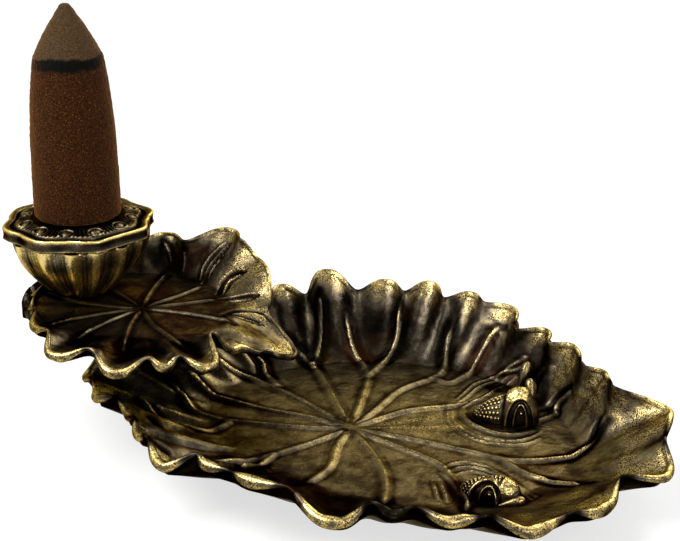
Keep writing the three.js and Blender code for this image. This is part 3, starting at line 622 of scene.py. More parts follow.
# Normals of a grid of points that closes on itself sideways, all turned upwards
def gridNormals(points):
    across = np.empty_like(points)
    across[:, 1:-1] = points[:, 2:] - points[:, :-2]
    across[:, 0] = across[:, -1] = points[:, 1] - points[:, -2]
    along = np.gradient(points, axis=0)
    normal = np.cross(along, across)
    length = np.linalg.norm(normal, axis=-1, keepdims=True)
    normal = np.where(length > 1e-9, normal / np.maximum(length, 1e-9), (0, 0, 1))
    return normal * np.sign(normal[..., 2:] + 1e-9)


# Smooth noise about 0, with lumps of about the given size
def unevenness(points, size, seed=0):
    flat = points.reshape(-1, 3) / size + seed
    values = np.fromiter((noise.noise(Vector(p)) for p in flat), float, len(flat))
    return values.reshape(points.shape[:-1])


# A drawn line laid on the leaf
def laidOn(leaf, line):
    return leafTop(leaf, np.radians(line[:, 0]), line[:, 1])


# All the lines on a leaf; gives their height and how rubbed they are at each point
def veinRelief(leaf, points, share):
    height = np.zeros(share.shape)
    rubbed = np.zeros(share.shape)
    look = leafLines["vein"]
    for vein in leaf["veins"]:
        line = smoothLine(vein, 8)
        distance, along = nearLine(points, laidOn(leaf, line), 4)
        lineShare = np.interp(along, np.linspace(0, 1, len(line)), line[:, 1])
        climb = smoothStep(lineShare, *look["climb"])
        tip = 1 - smoothStep(along, look["taperFrom"], 1)
        wide = leaf["veinWidth"] * (0.5 + 0.5 * tip) * (1 - look["slimmer"] * climb)
        ridge = np.cos(np.clip(distance / wide, 0, 1) * np.pi / 2) ** 1.6 * (0.15 + 0.85 * tip)
        apart = wide * (0.3 + 0.7 * tip) + look["edge"] * tip
        groove = hill(distance - apart, look["groove"] * growing(look["grooveWide"], climb))
        height = np.maximum(height, ridge * leaf["veinHeight"] * growing(look["high"], climb))
        height -= groove * growing(look["deep"], climb)
        rubbed += growing((leaf["veinRub"], look["bright"]), climb) * ridge
        rubbed -= groove * growing(look["dark"], climb)
    look = leafLines["crease"]
    for crease in leaf["creases"]:
        distance, along = nearLine(points, laidOn(leaf, smoothLine(crease, 8)), 3)
        groove = hill(distance, look["wide"]) * np.sin(np.pi * np.clip(along, 0.05, 0.95))
        height -= look["deep"] * groove
        rubbed -= look["dark"] * groove
    look = leafLines["slit"]
    for wide, slit in leaf["slits"]:
        distance, along = nearLine(points, laidOn(leaf, smoothLine(slit, 8)), 3)
        span = wide * np.sin(np.pi * np.clip(along, 0.04, 0.96)) ** 0.6
        hollow = 1 - smoothStep(distance, look["edge"][0] * span, look["edge"][1] * span)
        ridge = hill(distance, look["ridge"]) * span / wide
        height -= look["deep"] * hollow - look["high"] * ridge
        rubbed -= look["dark"] * hollow - look["bright"] * ridge
    lines = [(wide, np.array([(x, y, leafHeight(leaf, x, y)) for x, y in smoothLine(ring, 8)]))
             for wide, ring in leaf["rings"]]
    lines += [(wide, laidOn(leaf, smoothLine(fold, 8))) for wide, fold in leaf["folds"]]
    look = leafLines["fold"]
    climb = smoothStep(share, *look["climb"])
    corner = 1 - look["corner"] * hill(share - 1, look["cornerWide"])
    for wide, line in lines:
        distance, along = nearLine(points, line, 2)
        fade = np.sin(np.pi * np.clip(along, 0.04, 0.96)) ** 0.5
        ridge = hill(distance, wide) * fade
        groove = hill(distance - look["grooveAt"] * wide, look["grooveWide"] * wide) * fade
        height += min(look["highest"], growing(look["high"], wide)) * ridge * corner
        height -= growing(look["deep"], climb) * groove
        rubbed += growing(look["bright"], climb) * ridge - growing(look["dark"], climb) * groove
    return height, rubbed


# The upper face with its lines and cast skin: its points and how rubbed they are
def leafFace(leaf, angle, crest):
    cast = leafCast
    floorShares = 1 - (1 - np.linspace(0, 1, leaf["floorRows"] + 1)) ** cast["floorCrowd"]
    wallShares = 1 + np.linspace(0, cast["wallEnd"], leaf["wallRows"] + 1)[1:]
    share = np.concatenate([floorShares, wallShares])[:, None] + 0 * angle
    top = leafTop(leaf, angle, share)
    t = np.clip(share - 1, 0, 1)
    height, rubbed = veinRelief(leaf, top, share)
    lumps = unevenness(top, cast["lump"])
    flute = np.sin(np.pi * np.clip(t / cast["fluteEnd"], 0, 1))
    height += lumps * growing(cast["lumpHigh"], t) + byAngle(leaf["flutes"], angle) * (0.5 - crest) * flute
    least = cast["ruffleLeast"]
    ruffled = least + (1 - least) * smoothStep(t, *cast["ruffleFade"])
    height += leaf["ruffle"] * unevenness(top, cast["ruffle"], 40) * ruffled
    fromHub = smoothStep(share, *cast["hubFade"])
    height = height * fromHub + cast["hubHigh"] * leaf["veinHeight"] * (1 - fromHub)

    fromRim = (1 - t) * np.linalg.norm(top[-1] - top[leaf["floorRows"]], axis=-1)
    middleTone, edgeTone = leaf["floorTone"]
    floorTone = middleTone + (edgeTone - middleTone) * smoothStep(share, *cast["floorFade"])
    wallTone = byAngle(leaf["wallTone"], angle) + cast["cloudTone"] * unevenness(top, cast["cloud"], 60)
    gild = floorTone + (wallTone - floorTone) * smoothStep(share, *cast["wallFade"])
    least = cast["leastBand"]
    band = byAngle(leaf["rubbed"], angle) * (least + (1 - least) * crest ** 0.8)
    gild += (leaf["crestTone"] - wallTone) * hill(fromRim, band) * (least + (1 - least) * crest)
    gild += cast["fluteTone"] * (0.5 - crest) * flute + rubbed + cast["lumpTone"] * lumps * (0.3 + t)
    gild = gild * fromHub + middleTone * (1 - fromHub)
    # Painted shade: the leaf is darkened round each fish and fin
    for middle, turn, size in leaf["fishShade"]:
        off = (top[..., :2] - middle) @ np.array(Matrix.Rotation(math.radians(turn), 2))
        near = np.hypot(off[..., 0] / size[0], off[..., 1] / size[1])
        gild -= cast["fishShadeTone"] * (1 - smoothStep(near, *cast["fishShadeFade"]))
    return top + gridNormals(top) * height[..., None], gild


# The lip is a roll round the rim's own line
def leafLip(leaf, angle, crest, front, outward):
    cast = leafCast
    rimLine = leafTop(leaf, angle, np.full(angle.shape, 2.0))
    run = np.empty_like(rimLine)
    run[1:-1] = rimLine[2:] - rimLine[:-2]
    run[0] = run[-1] = rimLine[1] - rimLine[-2]
    run /= np.linalg.norm(run, axis=1, keepdims=True)
    across = outward - (outward * run).sum(1, keepdims=True) * run
    across /= np.linalg.norm(across, axis=1, keepdims=True)
    upward = np.cross(across, run)
    upward *= np.sign(upward[:, 2:])
    narrow, broad = [back + (ahead - back) * front for back, ahead in zip(leaf["bead"], leaf["frontBead"])]
    uneven = 1 + cast["lipLumpHigh"] * unevenness(rimLine, cast["lipLump"], 9)
    bead = (narrow + (broad - narrow) * crest) * uneven
    inset = (bead + cast["lipInset"] - leaf["rimSheet"] / 2)[:, None]
    middle = rimLine - outward * inset - np.array([0, 0, 1]) * growing(cast["lipDrop"], bead)[:, None]
    roll = np.radians(np.linspace(*cast["lipTurn"], leaf["beadRows"]))[:, None, None]
    points = middle + bead[:, None] * (np.cos(roll) * across + np.sin(roll) * upward)
    first, last = leaf["dullLip"]
    dull = np.abs(turnFrom(angle, (first + last) / 2)) - (last - first) / 2
    bright = smoothStep(crest * smoothStep(dull, -cast["dullFade"], cast["dullFade"]), *cast["lipFade"])
    # Rubbed brass, with painted highlights along the outer face and painted shade under the lip
    gild = np.interp(np.degrees(roll[:, :, 0]), *zip(*cast["lipRubAndPaintedLight"]))
    gild = gild * (leaf["pinchRub"] + (cast["lipBest"] - leaf["pinchRub"]) * bright)
    return points, gild + cast["lipSpeckTone"] * unevenness(points, cast["lipSpeck"], 5)


# Underside: the wall one sheet below, then the flat floor with its foot ring and pad
def leafBeneath(leaf, angle, front, outward):
    cast = leafCast
    under = np.linspace(cast["underFrom"], 0, leaf["underRows"])[:, None]
    near = leafTop(leaf, angle, 1 + np.maximum(under - cast["slopeStep"], 0))
    far = leafTop(leaf, angle, 1 + under + cast["slopeStep"])
    steep = np.arctan2(np.maximum(far[..., 2] - near[..., 2], 0),
                       ((far - near)[..., :2] * outward[:, :2]).sum(-1))
    sheet = leaf["floorSheet"] + (leaf["rimSheet"] - leaf["floorSheet"]) * under
    wall = leafTop(leaf, angle, 1 + under) + (sheet * np.sin(steep))[..., None] * outward
    wall[..., 2] -= sheet * np.cos(steep)
    floor, low = floorEdge(leaf, angle), leaf["underside"]
    wall[-1, :, 2] = low
    steps = [(floor * 0.995, low), (floor - 0.6, low)]
    if leaf["footWidth"]:
        soft, fillet = cast["footSoft"], cast["footFillet"]
        outer = floor - leaf["footInset"]
        inner = outer - leaf["footWidth"]
        pad = leaf["hubPad"]
        steps += [
            (outer + fillet + soft, low), (outer + fillet, low - soft), (outer, soft), (outer - soft, 0),
            (inner + soft, 0), (inner, soft), (inner - fillet, low - soft), (inner - fillet - soft, low),
            (floor * 0.5, low), (pad + 0.35, low), (pad, low - 0.3), (pad, soft), (pad - soft, 0), (0, 0)]
    else:
        steps += [(floor * 0.66, low), (floor * 0.33, low), (0, low)]
    flat = np.array([pointsRound(leaf["centre"], r, angle, z) for r, z in steps])
    # Darker towards the bottom, and darker on the front side as painted shade
    start, more, frontShade = cast["outsideToneAndShade"]
    gild = start + (more - frontShade * front) * under ** 1.5
    gild = gild + cast["outsideLumpTone"] * (1 - front) * unevenness(wall, cast["outsideLump"], 80)
    beneath = np.full(flat.shape[:2], cast["beneathTone"])
    return np.concatenate([wall, flat]), np.concatenate([gild, beneath])


# A whole leaf in one closed grid, from the centre of its upper face to the centre of its underside
def leafShape(leaf):
    angle = np.linspace(0, fullTurn, leaf["columns"] + 1)
    closerAt = math.radians(leaf["closerAt"])
    angle = angle - leaf["closerBy"] * np.sin(angle - closerAt)
    angle = angle - leaf["closerBy"] * math.sin(closerAt)
    crest = rimAt(leaf, angle)[3]
    front = smoothStep(-np.sin(angle), *leafCast["front"])
    outward = pointsRound((0, 0), 1, angle, 0)
    parts = [leafFace(leaf, angle, crest), leafLip(leaf, angle, crest, front, outward),
             leafBeneath(leaf, angle, front, outward)]
    points, gild = [np.concatenate(rows) for rows in zip(*parts)]
    return points, {"gild": gild}


def addLeaf(leaf, name):
    piece = gridPiece(name, *leafShape(leaf))
    gildByShape(piece, gain=0.22, radius=0.5)
    piece.data.materials.append(leafBrass)
    return piece


# Turned pieces: a profile spun about a vertical axis
def turnedPiece(name, profile, at, steps, gild=0.35):
    bm = bmesh.new()
    line = [bm.verts.new((r * mm, 0, z * mm)) for r, z in profile]
    edges = [bm.edges.new(pair) for pair in zip(line[:-1], line[1:])]
    bmesh.ops.spin(bm, geom=line + edges, cent=(0, 0, 0), axis=(0, 0, 1), angle=fullTurn, steps=steps,
                   use_merge=True, use_duplicate=False)
    bmesh.ops.translate(bm, verts=bm.verts, vec=(at[0] * mm, at[1] * mm, 0))
    piece = pieceFrom(bm, name)
    layer = piece.data.attributes.new("gild", "FLOAT", "POINT")
    layer.data.foreach_set("value", np.full(len(piece.data.vertices), gild))
    return piece


def rod(radius, low, high, at, steps=64):
    return turnedPiece("cutter", [(0, low), (radius, low), (radius, high), (0, high)], at, steps)


# Joins another shape to a piece, or cuts it away, and clears the other shape
def combine(piece, other, operation):
    modifier = piece.modifiers.new("shape", "BOOLEAN")
    modifier.operation = operation
    modifier.solver = "MANIFOLD"
    modifier.object = other
    bpy.context.view_layer.update()
    graph = bpy.context.evaluated_depsgraph_get()
    shaped = bpy.data.meshes.new_from_object(piece.evaluated_get(graph))
    piece.modifiers.remove(modifier)
    old = piece.data
    piece.data = shaped
    bpy.data.meshes.remove(old)
    bpy.data.objects.remove(other)


def replaceNode(piece, node, body="burner"):
    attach(piece, body)
    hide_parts(node)


# Stem under the small leaf, and the boss in the large leaf's wall that it is screwed to from beneath
stem = {
    "at": (-33, 7.4), "bossLow": 3.8, "bossHigh": 10.4, "boss": 4.7, "foot": 3.8, "waist": 3, "crown": 5,
    "gap": 0.3, "bore": 1.8, "headHole": 3, "headSeat": 5.9, "boreTop": 15.9, "room": (4.2, 0.5, 16),
}
podAt = (-46.9, 0.8)
screwSeats = {"stem_screw": (5.6, 14.7, stem["at"]), "pod_screw": (16.3, 20.7, podAt)}  # seat, tip, place

largePiece = addLeaf(largeLeaf, "large_leaf")
combine(largePiece, rod(*stem["room"], stem["at"]), "DIFFERENCE")
low, high, wide = stem["bossLow"], stem["bossHigh"], stem["boss"]
bore, headHole, headSeat = stem["bore"], stem["headHole"], stem["headSeat"]
bossProfile = [
    (headHole, low), (wide - 0.3, low), (wide, low + 0.3), (wide, high - 0.5), (wide - 0.15, high - 0.15),
    (wide - 0.5, high), (bore, high), (bore, headSeat), (headHole, headSeat), (headHole, low),
]
combine(largePiece, turnedPiece("boss", bossProfile, stem["at"], 96), "UNION")
replaceNode(largePiece, "large_leaf_dish")
print("large leaf made:", len(largePiece.data.polygons), "faces")

smallPiece = addLeaf(smallLeaf, "small_leaf")
foot, under = high + stem["gap"], smallLeaf["underside"]
wide, waist = stem["foot"], stem["waist"]
stemProfile = [
    (0, foot), (wide - 0.2, foot), (wide, foot + 0.2), (wide, foot + 0.6), (wide - 0.15, foot + 0.85),
    (3.2, foot + 1.6), (waist, foot + 2.5), (waist, foot + 3.4), (3.3, foot + 4.3), (4, under - 0.7),
    (stem["crown"], under + 0.4), (0, under + 0.4),
]
combine(smallPiece, turnedPiece("stem", stemProfile, stem["at"], 96), "UNION")
combine(smallPiece, rod(bore, foot - 1, stem["boreTop"], stem["at"]), "DIFFERENCE")
combine(smallPiece, rod(bore, under - 1, floorTop(smallLeaf) + 1, podAt), "DIFFERENCE")
replaceNode(smallPiece, "small_leaf_dish")
print("small leaf made:", len(smallPiece.data.polygons), "faces")


# Seed-pod cup: ridged petals under a scalloped band, with a rough casting seam between them
podCup = {
    "at": podAt, "foot": 5, "footZ": 18.5, "belly": 10.9, "cupTop": 27.9, "band": 11.5, "rim": 30.2,
    "recess": 10.4, "recessWave": 0.4, "ledge": 9.1, "ledgeZ": 28.2, "floorZ": 20.3, "boss": 3.2,
    "bossZ": 21.5, "wall": 1.4, "corners": 8, "cornerOut": 0.42, "cornerCrisp": 0.02,
    "petalRows": 45, "petalTone": (0.36, 0.06), "valley": -0.3,
    "ridges": (-118, -89.5, -64, -43, -20, 2, 29, 58, 88, 118, 149, 180),
    "ridgeHeight": 0.55, "ridgeWidth": 0.98, "ridgeSpread": (0.45, 0.65), "ridgeTone": (0.46, 0.1),
    "ridgeFade": (0.35, 0.65),        # every fourth ridge fades out towards the foot
    "ribHeight": 0.16, "ribWidth": 0.26, "ribShares": (0.3, 0.5, 0.7), "ribEnd": (0.3, 0.75), "ribTone": 0.16,
    "seamTone": 0.14, "rubTone": 0.26, "brushTone": 0.3, "bandUneven": 0.3,
    "noiseRadius": 12,                # the noises below run round this circle: size in mm and seed
    "ragged": (0.7, 3), "rubs": (3.5, 8), "brushed": (0.42, 31), "lumps": (2.3, 17),
    "outletWide": 4.6, "outletHigh": 3.4, "outletTurn": 15, "outletLong": 12, "columns": 560,
}


# Outer face from the foot to the band: rows of radius, height and how rubbed the brass is
def petalRows(pod, angle, rubs, brushed):
    rows = []
    ridges = sorted(a % 360 for a in pod["ridges"])
    nextRidges = ridges[1:] + [ridges[0] + 360]
    for t in np.linspace(0, 1, pod["petalRows"]):
        r = pod["foot"] + (pod["belly"] - pod["foot"]) * math.sin(t * math.pi / 2)
        z = pod["footZ"] + 0.15 + (pod["cupTop"] - pod["footZ"] - 0.15) * t
        lift = np.full(angle.shape, pod["valley"])
        gild = np.full(angle.shape, growing(pod["petalTone"], t))
        for i, (ridge, after) in enumerate(zip(ridges, nextRidges)):
            wide = pod["ridgeWidth"] * growing(pod["ridgeSpread"], t)
            fade = 1 if i % 4 else growing(pod["ridgeFade"], t)
            bump = hill(np.radians(turnFrom(angle, ridge)) * r, wide) * fade
            lift += bump * pod["ridgeHeight"]
            gild += growing(pod["ridgeTone"], t) * bump
            for share in pod["ribShares"]:
                off = np.radians(turnFrom(angle, ridge + (after - ridge) * share))
                bump = hill(off * r, pod["ribWidth"]) * (1 - smoothStep(t, *pod["ribEnd"]))
                lift += bump * pod["ribHeight"]
                gild += pod["ribTone"] * bump
        gild += pod["seamTone"] * smoothStep(t, 0.72, 1) + pod["rubTone"] * rubs + brushed * pod["brushTone"]
        rows.append((r + lift, z, gild))
    return rows


def podShape(pod):
    angle = np.linspace(0, fullTurn, pod["columns"] + 1)
    seam = pointsRound((0, 0), pod["noiseRadius"], angle, 0)
    ragged, rubs = unevenness(seam, *pod["ragged"]), unevenness(seam, *pod["rubs"])
    brushed, lumps = unevenness(seam, *pod["brushed"]), unevenness(seam, *pod["lumps"])
    corners = np.cos(pod["corners"] * angle)
    bandWave = pod["cornerOut"] * corners + pod["cornerCrisp"] * np.cos(2 * pod["corners"] * angle)
    band = pod["band"] + bandWave + pod["bandUneven"] * lumps
    recess = pod["recess"] + pod["recessWave"] * corners
    top, low, ledge, floor = pod["rim"], pod["cupTop"], pod["ledgeZ"], pod["floorZ"]
    rows = [(0, pod["footZ"], 0.2), (pod["foot"] - 0.4, pod["footZ"], 0.2)]
    rows += petalRows(pod, angle, rubs, brushed)
    rows += [
        # Ragged seam under the band
        (pod["belly"] - 0.2 + 0.12 * ragged, low + 0.08, 0.5 + 0.9 * ragged),
        (pod["belly"] - 0.45 + 0.1 * ragged, low + 0.2, 0.06),
        (band - 0.42 + 0.16 * ragged, low + 0.3, 0.1 + 0.7 * ragged),
        (band - 0.12 + 0.1 * ragged, low + 0.38, 0.55 + 0.6 * ragged),
        # Band and its rolled rim
        (band + 0.02, low + 0.5, 0.5),
        (band - 0.06, low + 0.66, 0.3),
        (band - 0.12 - 0.1 * rubs, low + 1.0, 0.3 + 0.4 * rubs),
        (band - 0.12 - 0.1 * rubs, low + 1.4, 0.32 + 0.4 * rubs),
        (band - 0.05, low + 1.75, 0.42 + 0.4 * rubs),
        (band, low + 1.95, 0.62),
        (band - 0.03, low + 2.12, 0.86),
        (band - 0.14, top - 0.06, 0.92),
        (band - 0.3, top, 0.82),
        (band - 0.46, top - 0.05, 0.5),
        # Recess and ledge for the seed plate
        (recess + 0.3, top - 0.12, 0.3),
        (recess + 0.1, top - 0.18, 0.36),
        (recess, top - 0.35, 0.2),
        (recess, ledge, 0.05),
        (pod["ledge"], ledge, 0.2),
    ]
    for t in np.linspace(1, 0, 9)[1:]:
        z = floor + (ledge - floor) * t
        up = min(1, (z - pod["footZ"]) / (low - pod["footZ"]))
        r = pod["foot"] + (pod["belly"] - pod["foot"]) * math.sin(up * math.pi / 2) - pod["wall"]
        rows.append((min(r, pod["ledge"]), z, 0.15))
    boss, bossTop = pod["boss"], pod["bossZ"]
    rows += [(boss + 0.25, floor, 0.15), (boss, floor + 0.25, 0.2), (boss, bossTop - 0.2, 0.25),
             (boss - 0.2, bossTop, 0.3), (0, bossTop, 0.3)]
    points = np.array([pointsRound(pod["at"], r, angle, z) for r, z, _ in rows])
    return points, {"gild": np.array([np.clip(gild, 0, 1) + 0 * angle for _, _, gild in rows])}


def box(corner, size):
    bm = bmesh.new()
    bmesh.ops.create_cube(bm, size=1)
    bmesh.ops.translate(bm, verts=bm.verts, vec=(0.5, 0.5, 0.5))
    bmesh.ops.scale(bm, verts=bm.verts, vec=[s * mm for s in size])
    bmesh.ops.translate(bm, verts=bm.verts, vec=[c * mm for c in corner])
    return bm


def addPod(pod):
    piece = gridPiece("lotus_pod", *podShape(pod))
    gildByShape(piece, gain=0.25, radius=0.4)
    piece.data.materials.append(podBrass)
    half, long = pod["outletWide"] / 2, pod["outletLong"]
    turn = Matrix.Translation((pod["at"][0] * mm, pod["at"][1] * mm, 0)) @ Matrix.Rotation(
        math.radians(pod["outletTurn"]), 4, "Z")
    slot = box((pod["boss"], -half, pod["floorZ"]), (long, 2 * half, pod["outletHigh"] - half))
    bmesh.ops.transform(slot, matrix=turn, verts=slot.verts)
    combine(piece, pieceFrom(slot, "cutter"), "DIFFERENCE")
    arch = bmesh.new()
    archAt = (pod["boss"] + long / 2, 0, pod["floorZ"] + pod["outletHigh"] - half)
    lying = Matrix.Translation(Vector(archAt) * mm) @ Matrix.Rotation(math.pi / 2, 4, "Y")
    bmesh.ops.create_cone(arch, cap_ends=True, segments=48, radius1=half * mm, radius2=half * mm,
                          depth=long * mm, matrix=turn @ lying)
    combine(piece, pieceFrom(arch, "cutter"), "DIFFERENCE")
    combine(piece, rod(stem["bore"], pod["footZ"] - 1, pod["bossZ"] + 1, pod["at"]), "DIFFERENCE")
    piece.data.set_sharp_from_angle(angle=math.radians(60))
    replaceNode(piece, "lotus_pod_cup")


addPod(podCup)
print("pod cup made")


# Seed plate: a ring of seeds, each in an oval socket, with fine lines running between them
seedPlate = {
    "low": 28.5, "high": 30.7, "radius": 9.8, "corners": 8, "cornerOut": 0.35, "crown": 0.35, "edge": 0.4,
    "hole": 1.6, "flat": 7.1, "ring": 8.5, "seeds": 12, "firstSeed": 20, "columns": 560,
    "seedLong": 0.8, "seedWide": 0.7, "seedHigh": 0.5, "seedTone": 0.36,
    "socket": 1.2, "socketWide": 0.17, "socketHigh": 0.15, "socketTone": 0.15,
    "dish": 0.9, "dishDeep": 0.22, "dishTone": 0.1,
    "lines": 84, "lineHigh": 0.05, "lineTone": 0.08, "tone": 0.21, "edgeTone": 0.25,
}


def plateShape(plate):
    angle = np.linspace(0, fullTurn, plate["columns"] + 1)
    outside = plate["radius"] - plate["edge"]
    radii = np.concatenate([np.linspace(outside, plate["flat"] - 0.5, 44),
                            np.linspace(plate["flat"] - 0.8, plate["hole"] + 0.2, 5)])[:, None]
    wave = plate["cornerOut"] * np.cos(plate["corners"] * angle)
    r = radii + wave * smoothStep(radii, plate["ring"], outside)
    shoulder = plate["high"] - plate["crown"]
    z = shoulder + plate["crown"] * smoothStep(-r, -outside, -plate["flat"])
    gild = np.full(r.shape, plate["tone"])
    clear = np.ones(r.shape)
    for k in range(plate["seeds"]):
        across = np.radians(turnFrom(angle, plate["firstSeed"] + k * 360 / plate["seeds"])) * plate["ring"]
        out = r - plate["ring"]
        distance = np.hypot(across / plate["seedLong"], out / plate["seedWide"])
        seed = np.sqrt(np.clip(1 - distance ** 2, 0, 1))
        fromMiddle = np.hypot(across, out * 1.15)
        ring = hill(fromMiddle - plate["socket"], plate["socketWide"])
        dish = np.exp(-(fromMiddle / plate["dish"]) ** 4)
        clear *= smoothStep(fromMiddle, plate["socket"] - 0.1, plate["socket"] + 0.2)
        z += seed * plate["seedHigh"] + ring * plate["socketHigh"] - plate["dishDeep"] * dish
        gild += plate["seedTone"] * seed + plate["socketTone"] * ring - plate["dishTone"] * dish
    lines = np.cos(plate["lines"] * angle) * smoothStep(r, plate["flat"], plate["flat"] + 0.6) * clear
    z += lines * plate["lineHigh"]
    gild += plate["lineTone"] * lines
    gild += plate["edgeTone"] * smoothStep(r, plate["radius"] - 0.9, plate["radius"] - 0.3)
    outline = plate["radius"] + wave
    edge = [(plate["hole"], plate["low"]), (outline - 0.2, plate["low"]), (outline, plate["low"] + 0.2),
            (outline, shoulder - plate["edge"]), (outline - 0.1, shoulder - 0.12)]
    hole = [(plate["hole"], plate["high"] - 0.2), (plate["hole"], plate["low"])]
    edge, hole = [[pointsRound(podAt, radius, angle, height) for radius, height in rows]
                  for rows in (edge, hole)]
    plain = np.full(angle.shape, 0.3)
    gild = np.concatenate([[plain] * len(edge), gild, [plain] * len(hole)])
    return np.concatenate([edge, pointsRound(podAt, r, angle, z), hole]), {"gild": gild}


platePiece = gridPiece("seed_plate", *plateShape(seedPlate))
gildByShape(platePiece, gain=0.25, radius=0.3)
platePiece.data.materials.append(podBrass)
platePiece.data.set_sharp_from_angle(angle=math.radians(60))
replaceNode(platePiece, "pod_seed_plate", "seed_plate")
print("seed plate made")


# Incense cone: pressed, a little barrelled, burnt down at the tip
incenseCone = {
    "at": podAt, "low": 31, "high": 64.2, "base": 6.8, "baseEdge": 0.5, "shoulderZ": 56.2, "shoulder": 5.35,
    "power": 3, "tip": 1.05, "tipHigh": 0.6, "swell": 0.22, "bore": 1.25, "boreHigh": 20, "columns": 320,
    "ringUp": 1.3, "ringHigh": 1.3,   # the charred ring, before its edge wanders
    "grainHigh": 0.07, "pitHigh": 0.1, "lumpHigh": 0.05,
    "grain": 0.34, "crumb": 0.8, "pit": 0.9, "lump": 3,
}


def coneShape(cone):
    angle = np.linspace(0, fullTurn, cone["columns"] + 1)
    tip, shoulder, base, edge = cone["tip"], cone["shoulder"], cone["base"], cone["baseEdge"]
    low, burntTop = cone["low"], cone["high"] - cone["tipHigh"]
    profile = [(0.0, cone["high"]), (tip * 0.3, cone["high"] - 0.02), (tip * 0.6, cone["high"] - 0.12),
               (tip * 0.85, cone["high"] - 0.32), (tip, burntTop)]
    for t in np.linspace(0, 1, 58)[1:]:
        swell = cone["swell"] * math.sin(math.pi * t)
        profile.append((tip + (shoulder - tip) * t + swell, burntTop - (burntTop - cone["shoulderZ"]) * t))
    for t in np.linspace(1, 0, 130)[1:]:
        z = low + (cone["shoulderZ"] - low) * t
        if z > low + edge:
            profile.append((base - (base - shoulder) * t ** cone["power"], z))
    for turn in np.linspace(0, math.pi / 2, 7):
        profile.append((base - edge + edge * math.cos(turn), low + edge - edge * math.sin(turn)))
    smooth = len(profile) - 1  # the underside and the bore stay smooth
    profile += [(cone["bore"], low), (cone["bore"], low + cone["boreHigh"]), (0.0, low + cone["boreHigh"])]
    r, z = np.array(profile).T[:, :, None]
    points = pointsRound((0, 0), r, angle, z)
    normal = gridNormals(points)
    out = pointsRound((0, 0), 1, angle, 0)
    normal = np.where((normal * out).sum(-1, keepdims=True) < 0, -normal, normal)
    rough = unevenness(points, cone["grain"]) + 0.6 * unevenness(points, cone["crumb"], 20)
    pits = np.minimum(0, unevenness(points, cone["pit"], 50) + 0.25)
    burnt = smoothStep(z, cone["shoulderZ"] - 0.3, cone["shoulderZ"] + 0.3)
    lift = cone["grainHigh"] * (rough - 0.6) + cone["pitHigh"] * pits * burnt
    lift += cone["lumpHigh"] * unevenness(points, cone["lump"], 70)
    lift[smooth:] = 0
    lift[:3] *= 0.3
    return points + normal * lift[..., None] + (*cone["at"], 0), {}


conePiece = gridPiece("cone", *coneShape(incenseCone))
ringTop = incenseCone["shoulderZ"] + incenseCone["ringUp"]
conePiece.data.materials.append(pressedIncense("pressedIncense", coneLook, ringTop, incenseCone["ringHigh"]))
replaceNode(conePiece, "incense_cone", "cone")
print("cone made")


# Fish half out of the water, in their own axes: X from tail to mouth, Z up from the water, in millimetres.
# Outline rows are (along, half width, height); arch and ring are ovals round the eye, (along, half width,
# height); pupil is (along, height), and crown runs between two places along, above a height. rub is how
# rubbed the skin is between the scales
fishShape = {
    "rows": 250, "columns": 190, "lowest": -0.25, "tilt": 0.38,
    "pegRadius": 1.1, "pegLow": 1.9, "pegHigh": 4.2, "seatGap": 0.3,
    "scaleStep": 0.62, "scaleTurn": 17, "scaleSize": 0.25, "scaleHigh": 0.9, "scaleTone": (0.2, 0.26),
    "archDeep": 0.5, "archTone": 0.13, "archFade": (-0.15, 0.1),
    "ringThick": 0.24, "ringHigh": 0.2, "ringRise": 0.9, "ringTone": 0.44,
    "pupilSize": 0.27, "pupilRise": 0.8, "pupilTone": 0.5,
    "browAt": 0.24, "browWide": 0.2, "browHigh": 0.16, "browTone": 0.34, "browEnd": (0.6, 1.6),
    "neckAt": 0.42, "neckWide": 0.3, "neckDeep": 0.5, "neckTone": 0.12,
    "crownHigh": (0.18, 0.07), "crownTone": (0.34, 0.2), "cloud": 1.4, "cloudTone": 0.1,
}
fishPlaces = {
    "fish_rear": {
        "at": (20.8, 12.2), "turn": 8, "scalesEnd": -0.6, "arch": (2.6, 1.95, 4.3), "ring": (2.65, 1.0, 3.5),
        "pupil": (2.75, 2.0), "crown": (0.1, 3.9, 3.2), "rub": 0.38,
        "outline": [(-5.2, 0, 0), (-4.4, 0.7, 1), (-2.6, 1.6, 2.4), (-0.7, 2.2, 3.4), (0.3, 2.35, 4.4),
                    (1.6, 2.4, 5.1), (2.9, 2.25, 5.1), (4.1, 1.8, 4.1), (4.9, 1.2, 2.5), (5.3, 0, 0)],
    },
    "fish_front": {
        "at": (25.7, -11.5), "turn": -6, "scalesEnd": 1.9, "arch": (0.5, 2.45, 3.1), "ring": (0.85, 1.3, 2.4),
        "pupil": (0.95, 1.2), "crown": (2.0, 4.8, 1.2), "rub": 0.28,
        "outline": [(-4.5, 0, 0), (-3.6, 1, 0.8), (-1.9, 1.9, 1.7), (0, 2.3, 2.4), (1.6, 2.35, 2.8),
                    (2.8, 2.2, 2.8), (3.9, 1.7, 2.3), (4.7, 1, 1.3), (5.1, 0, 0)],
    },
}


# How far a point of the side view lies outside an upright oval round the eye
def ovalGap(x, z, oval):
    middle, wide, tall = oval
    stretched = np.hypot((x - middle) / wide, z / tall)
    return np.hypot(x - middle, z) * (1 - 1 / np.maximum(stretched, 1e-6))


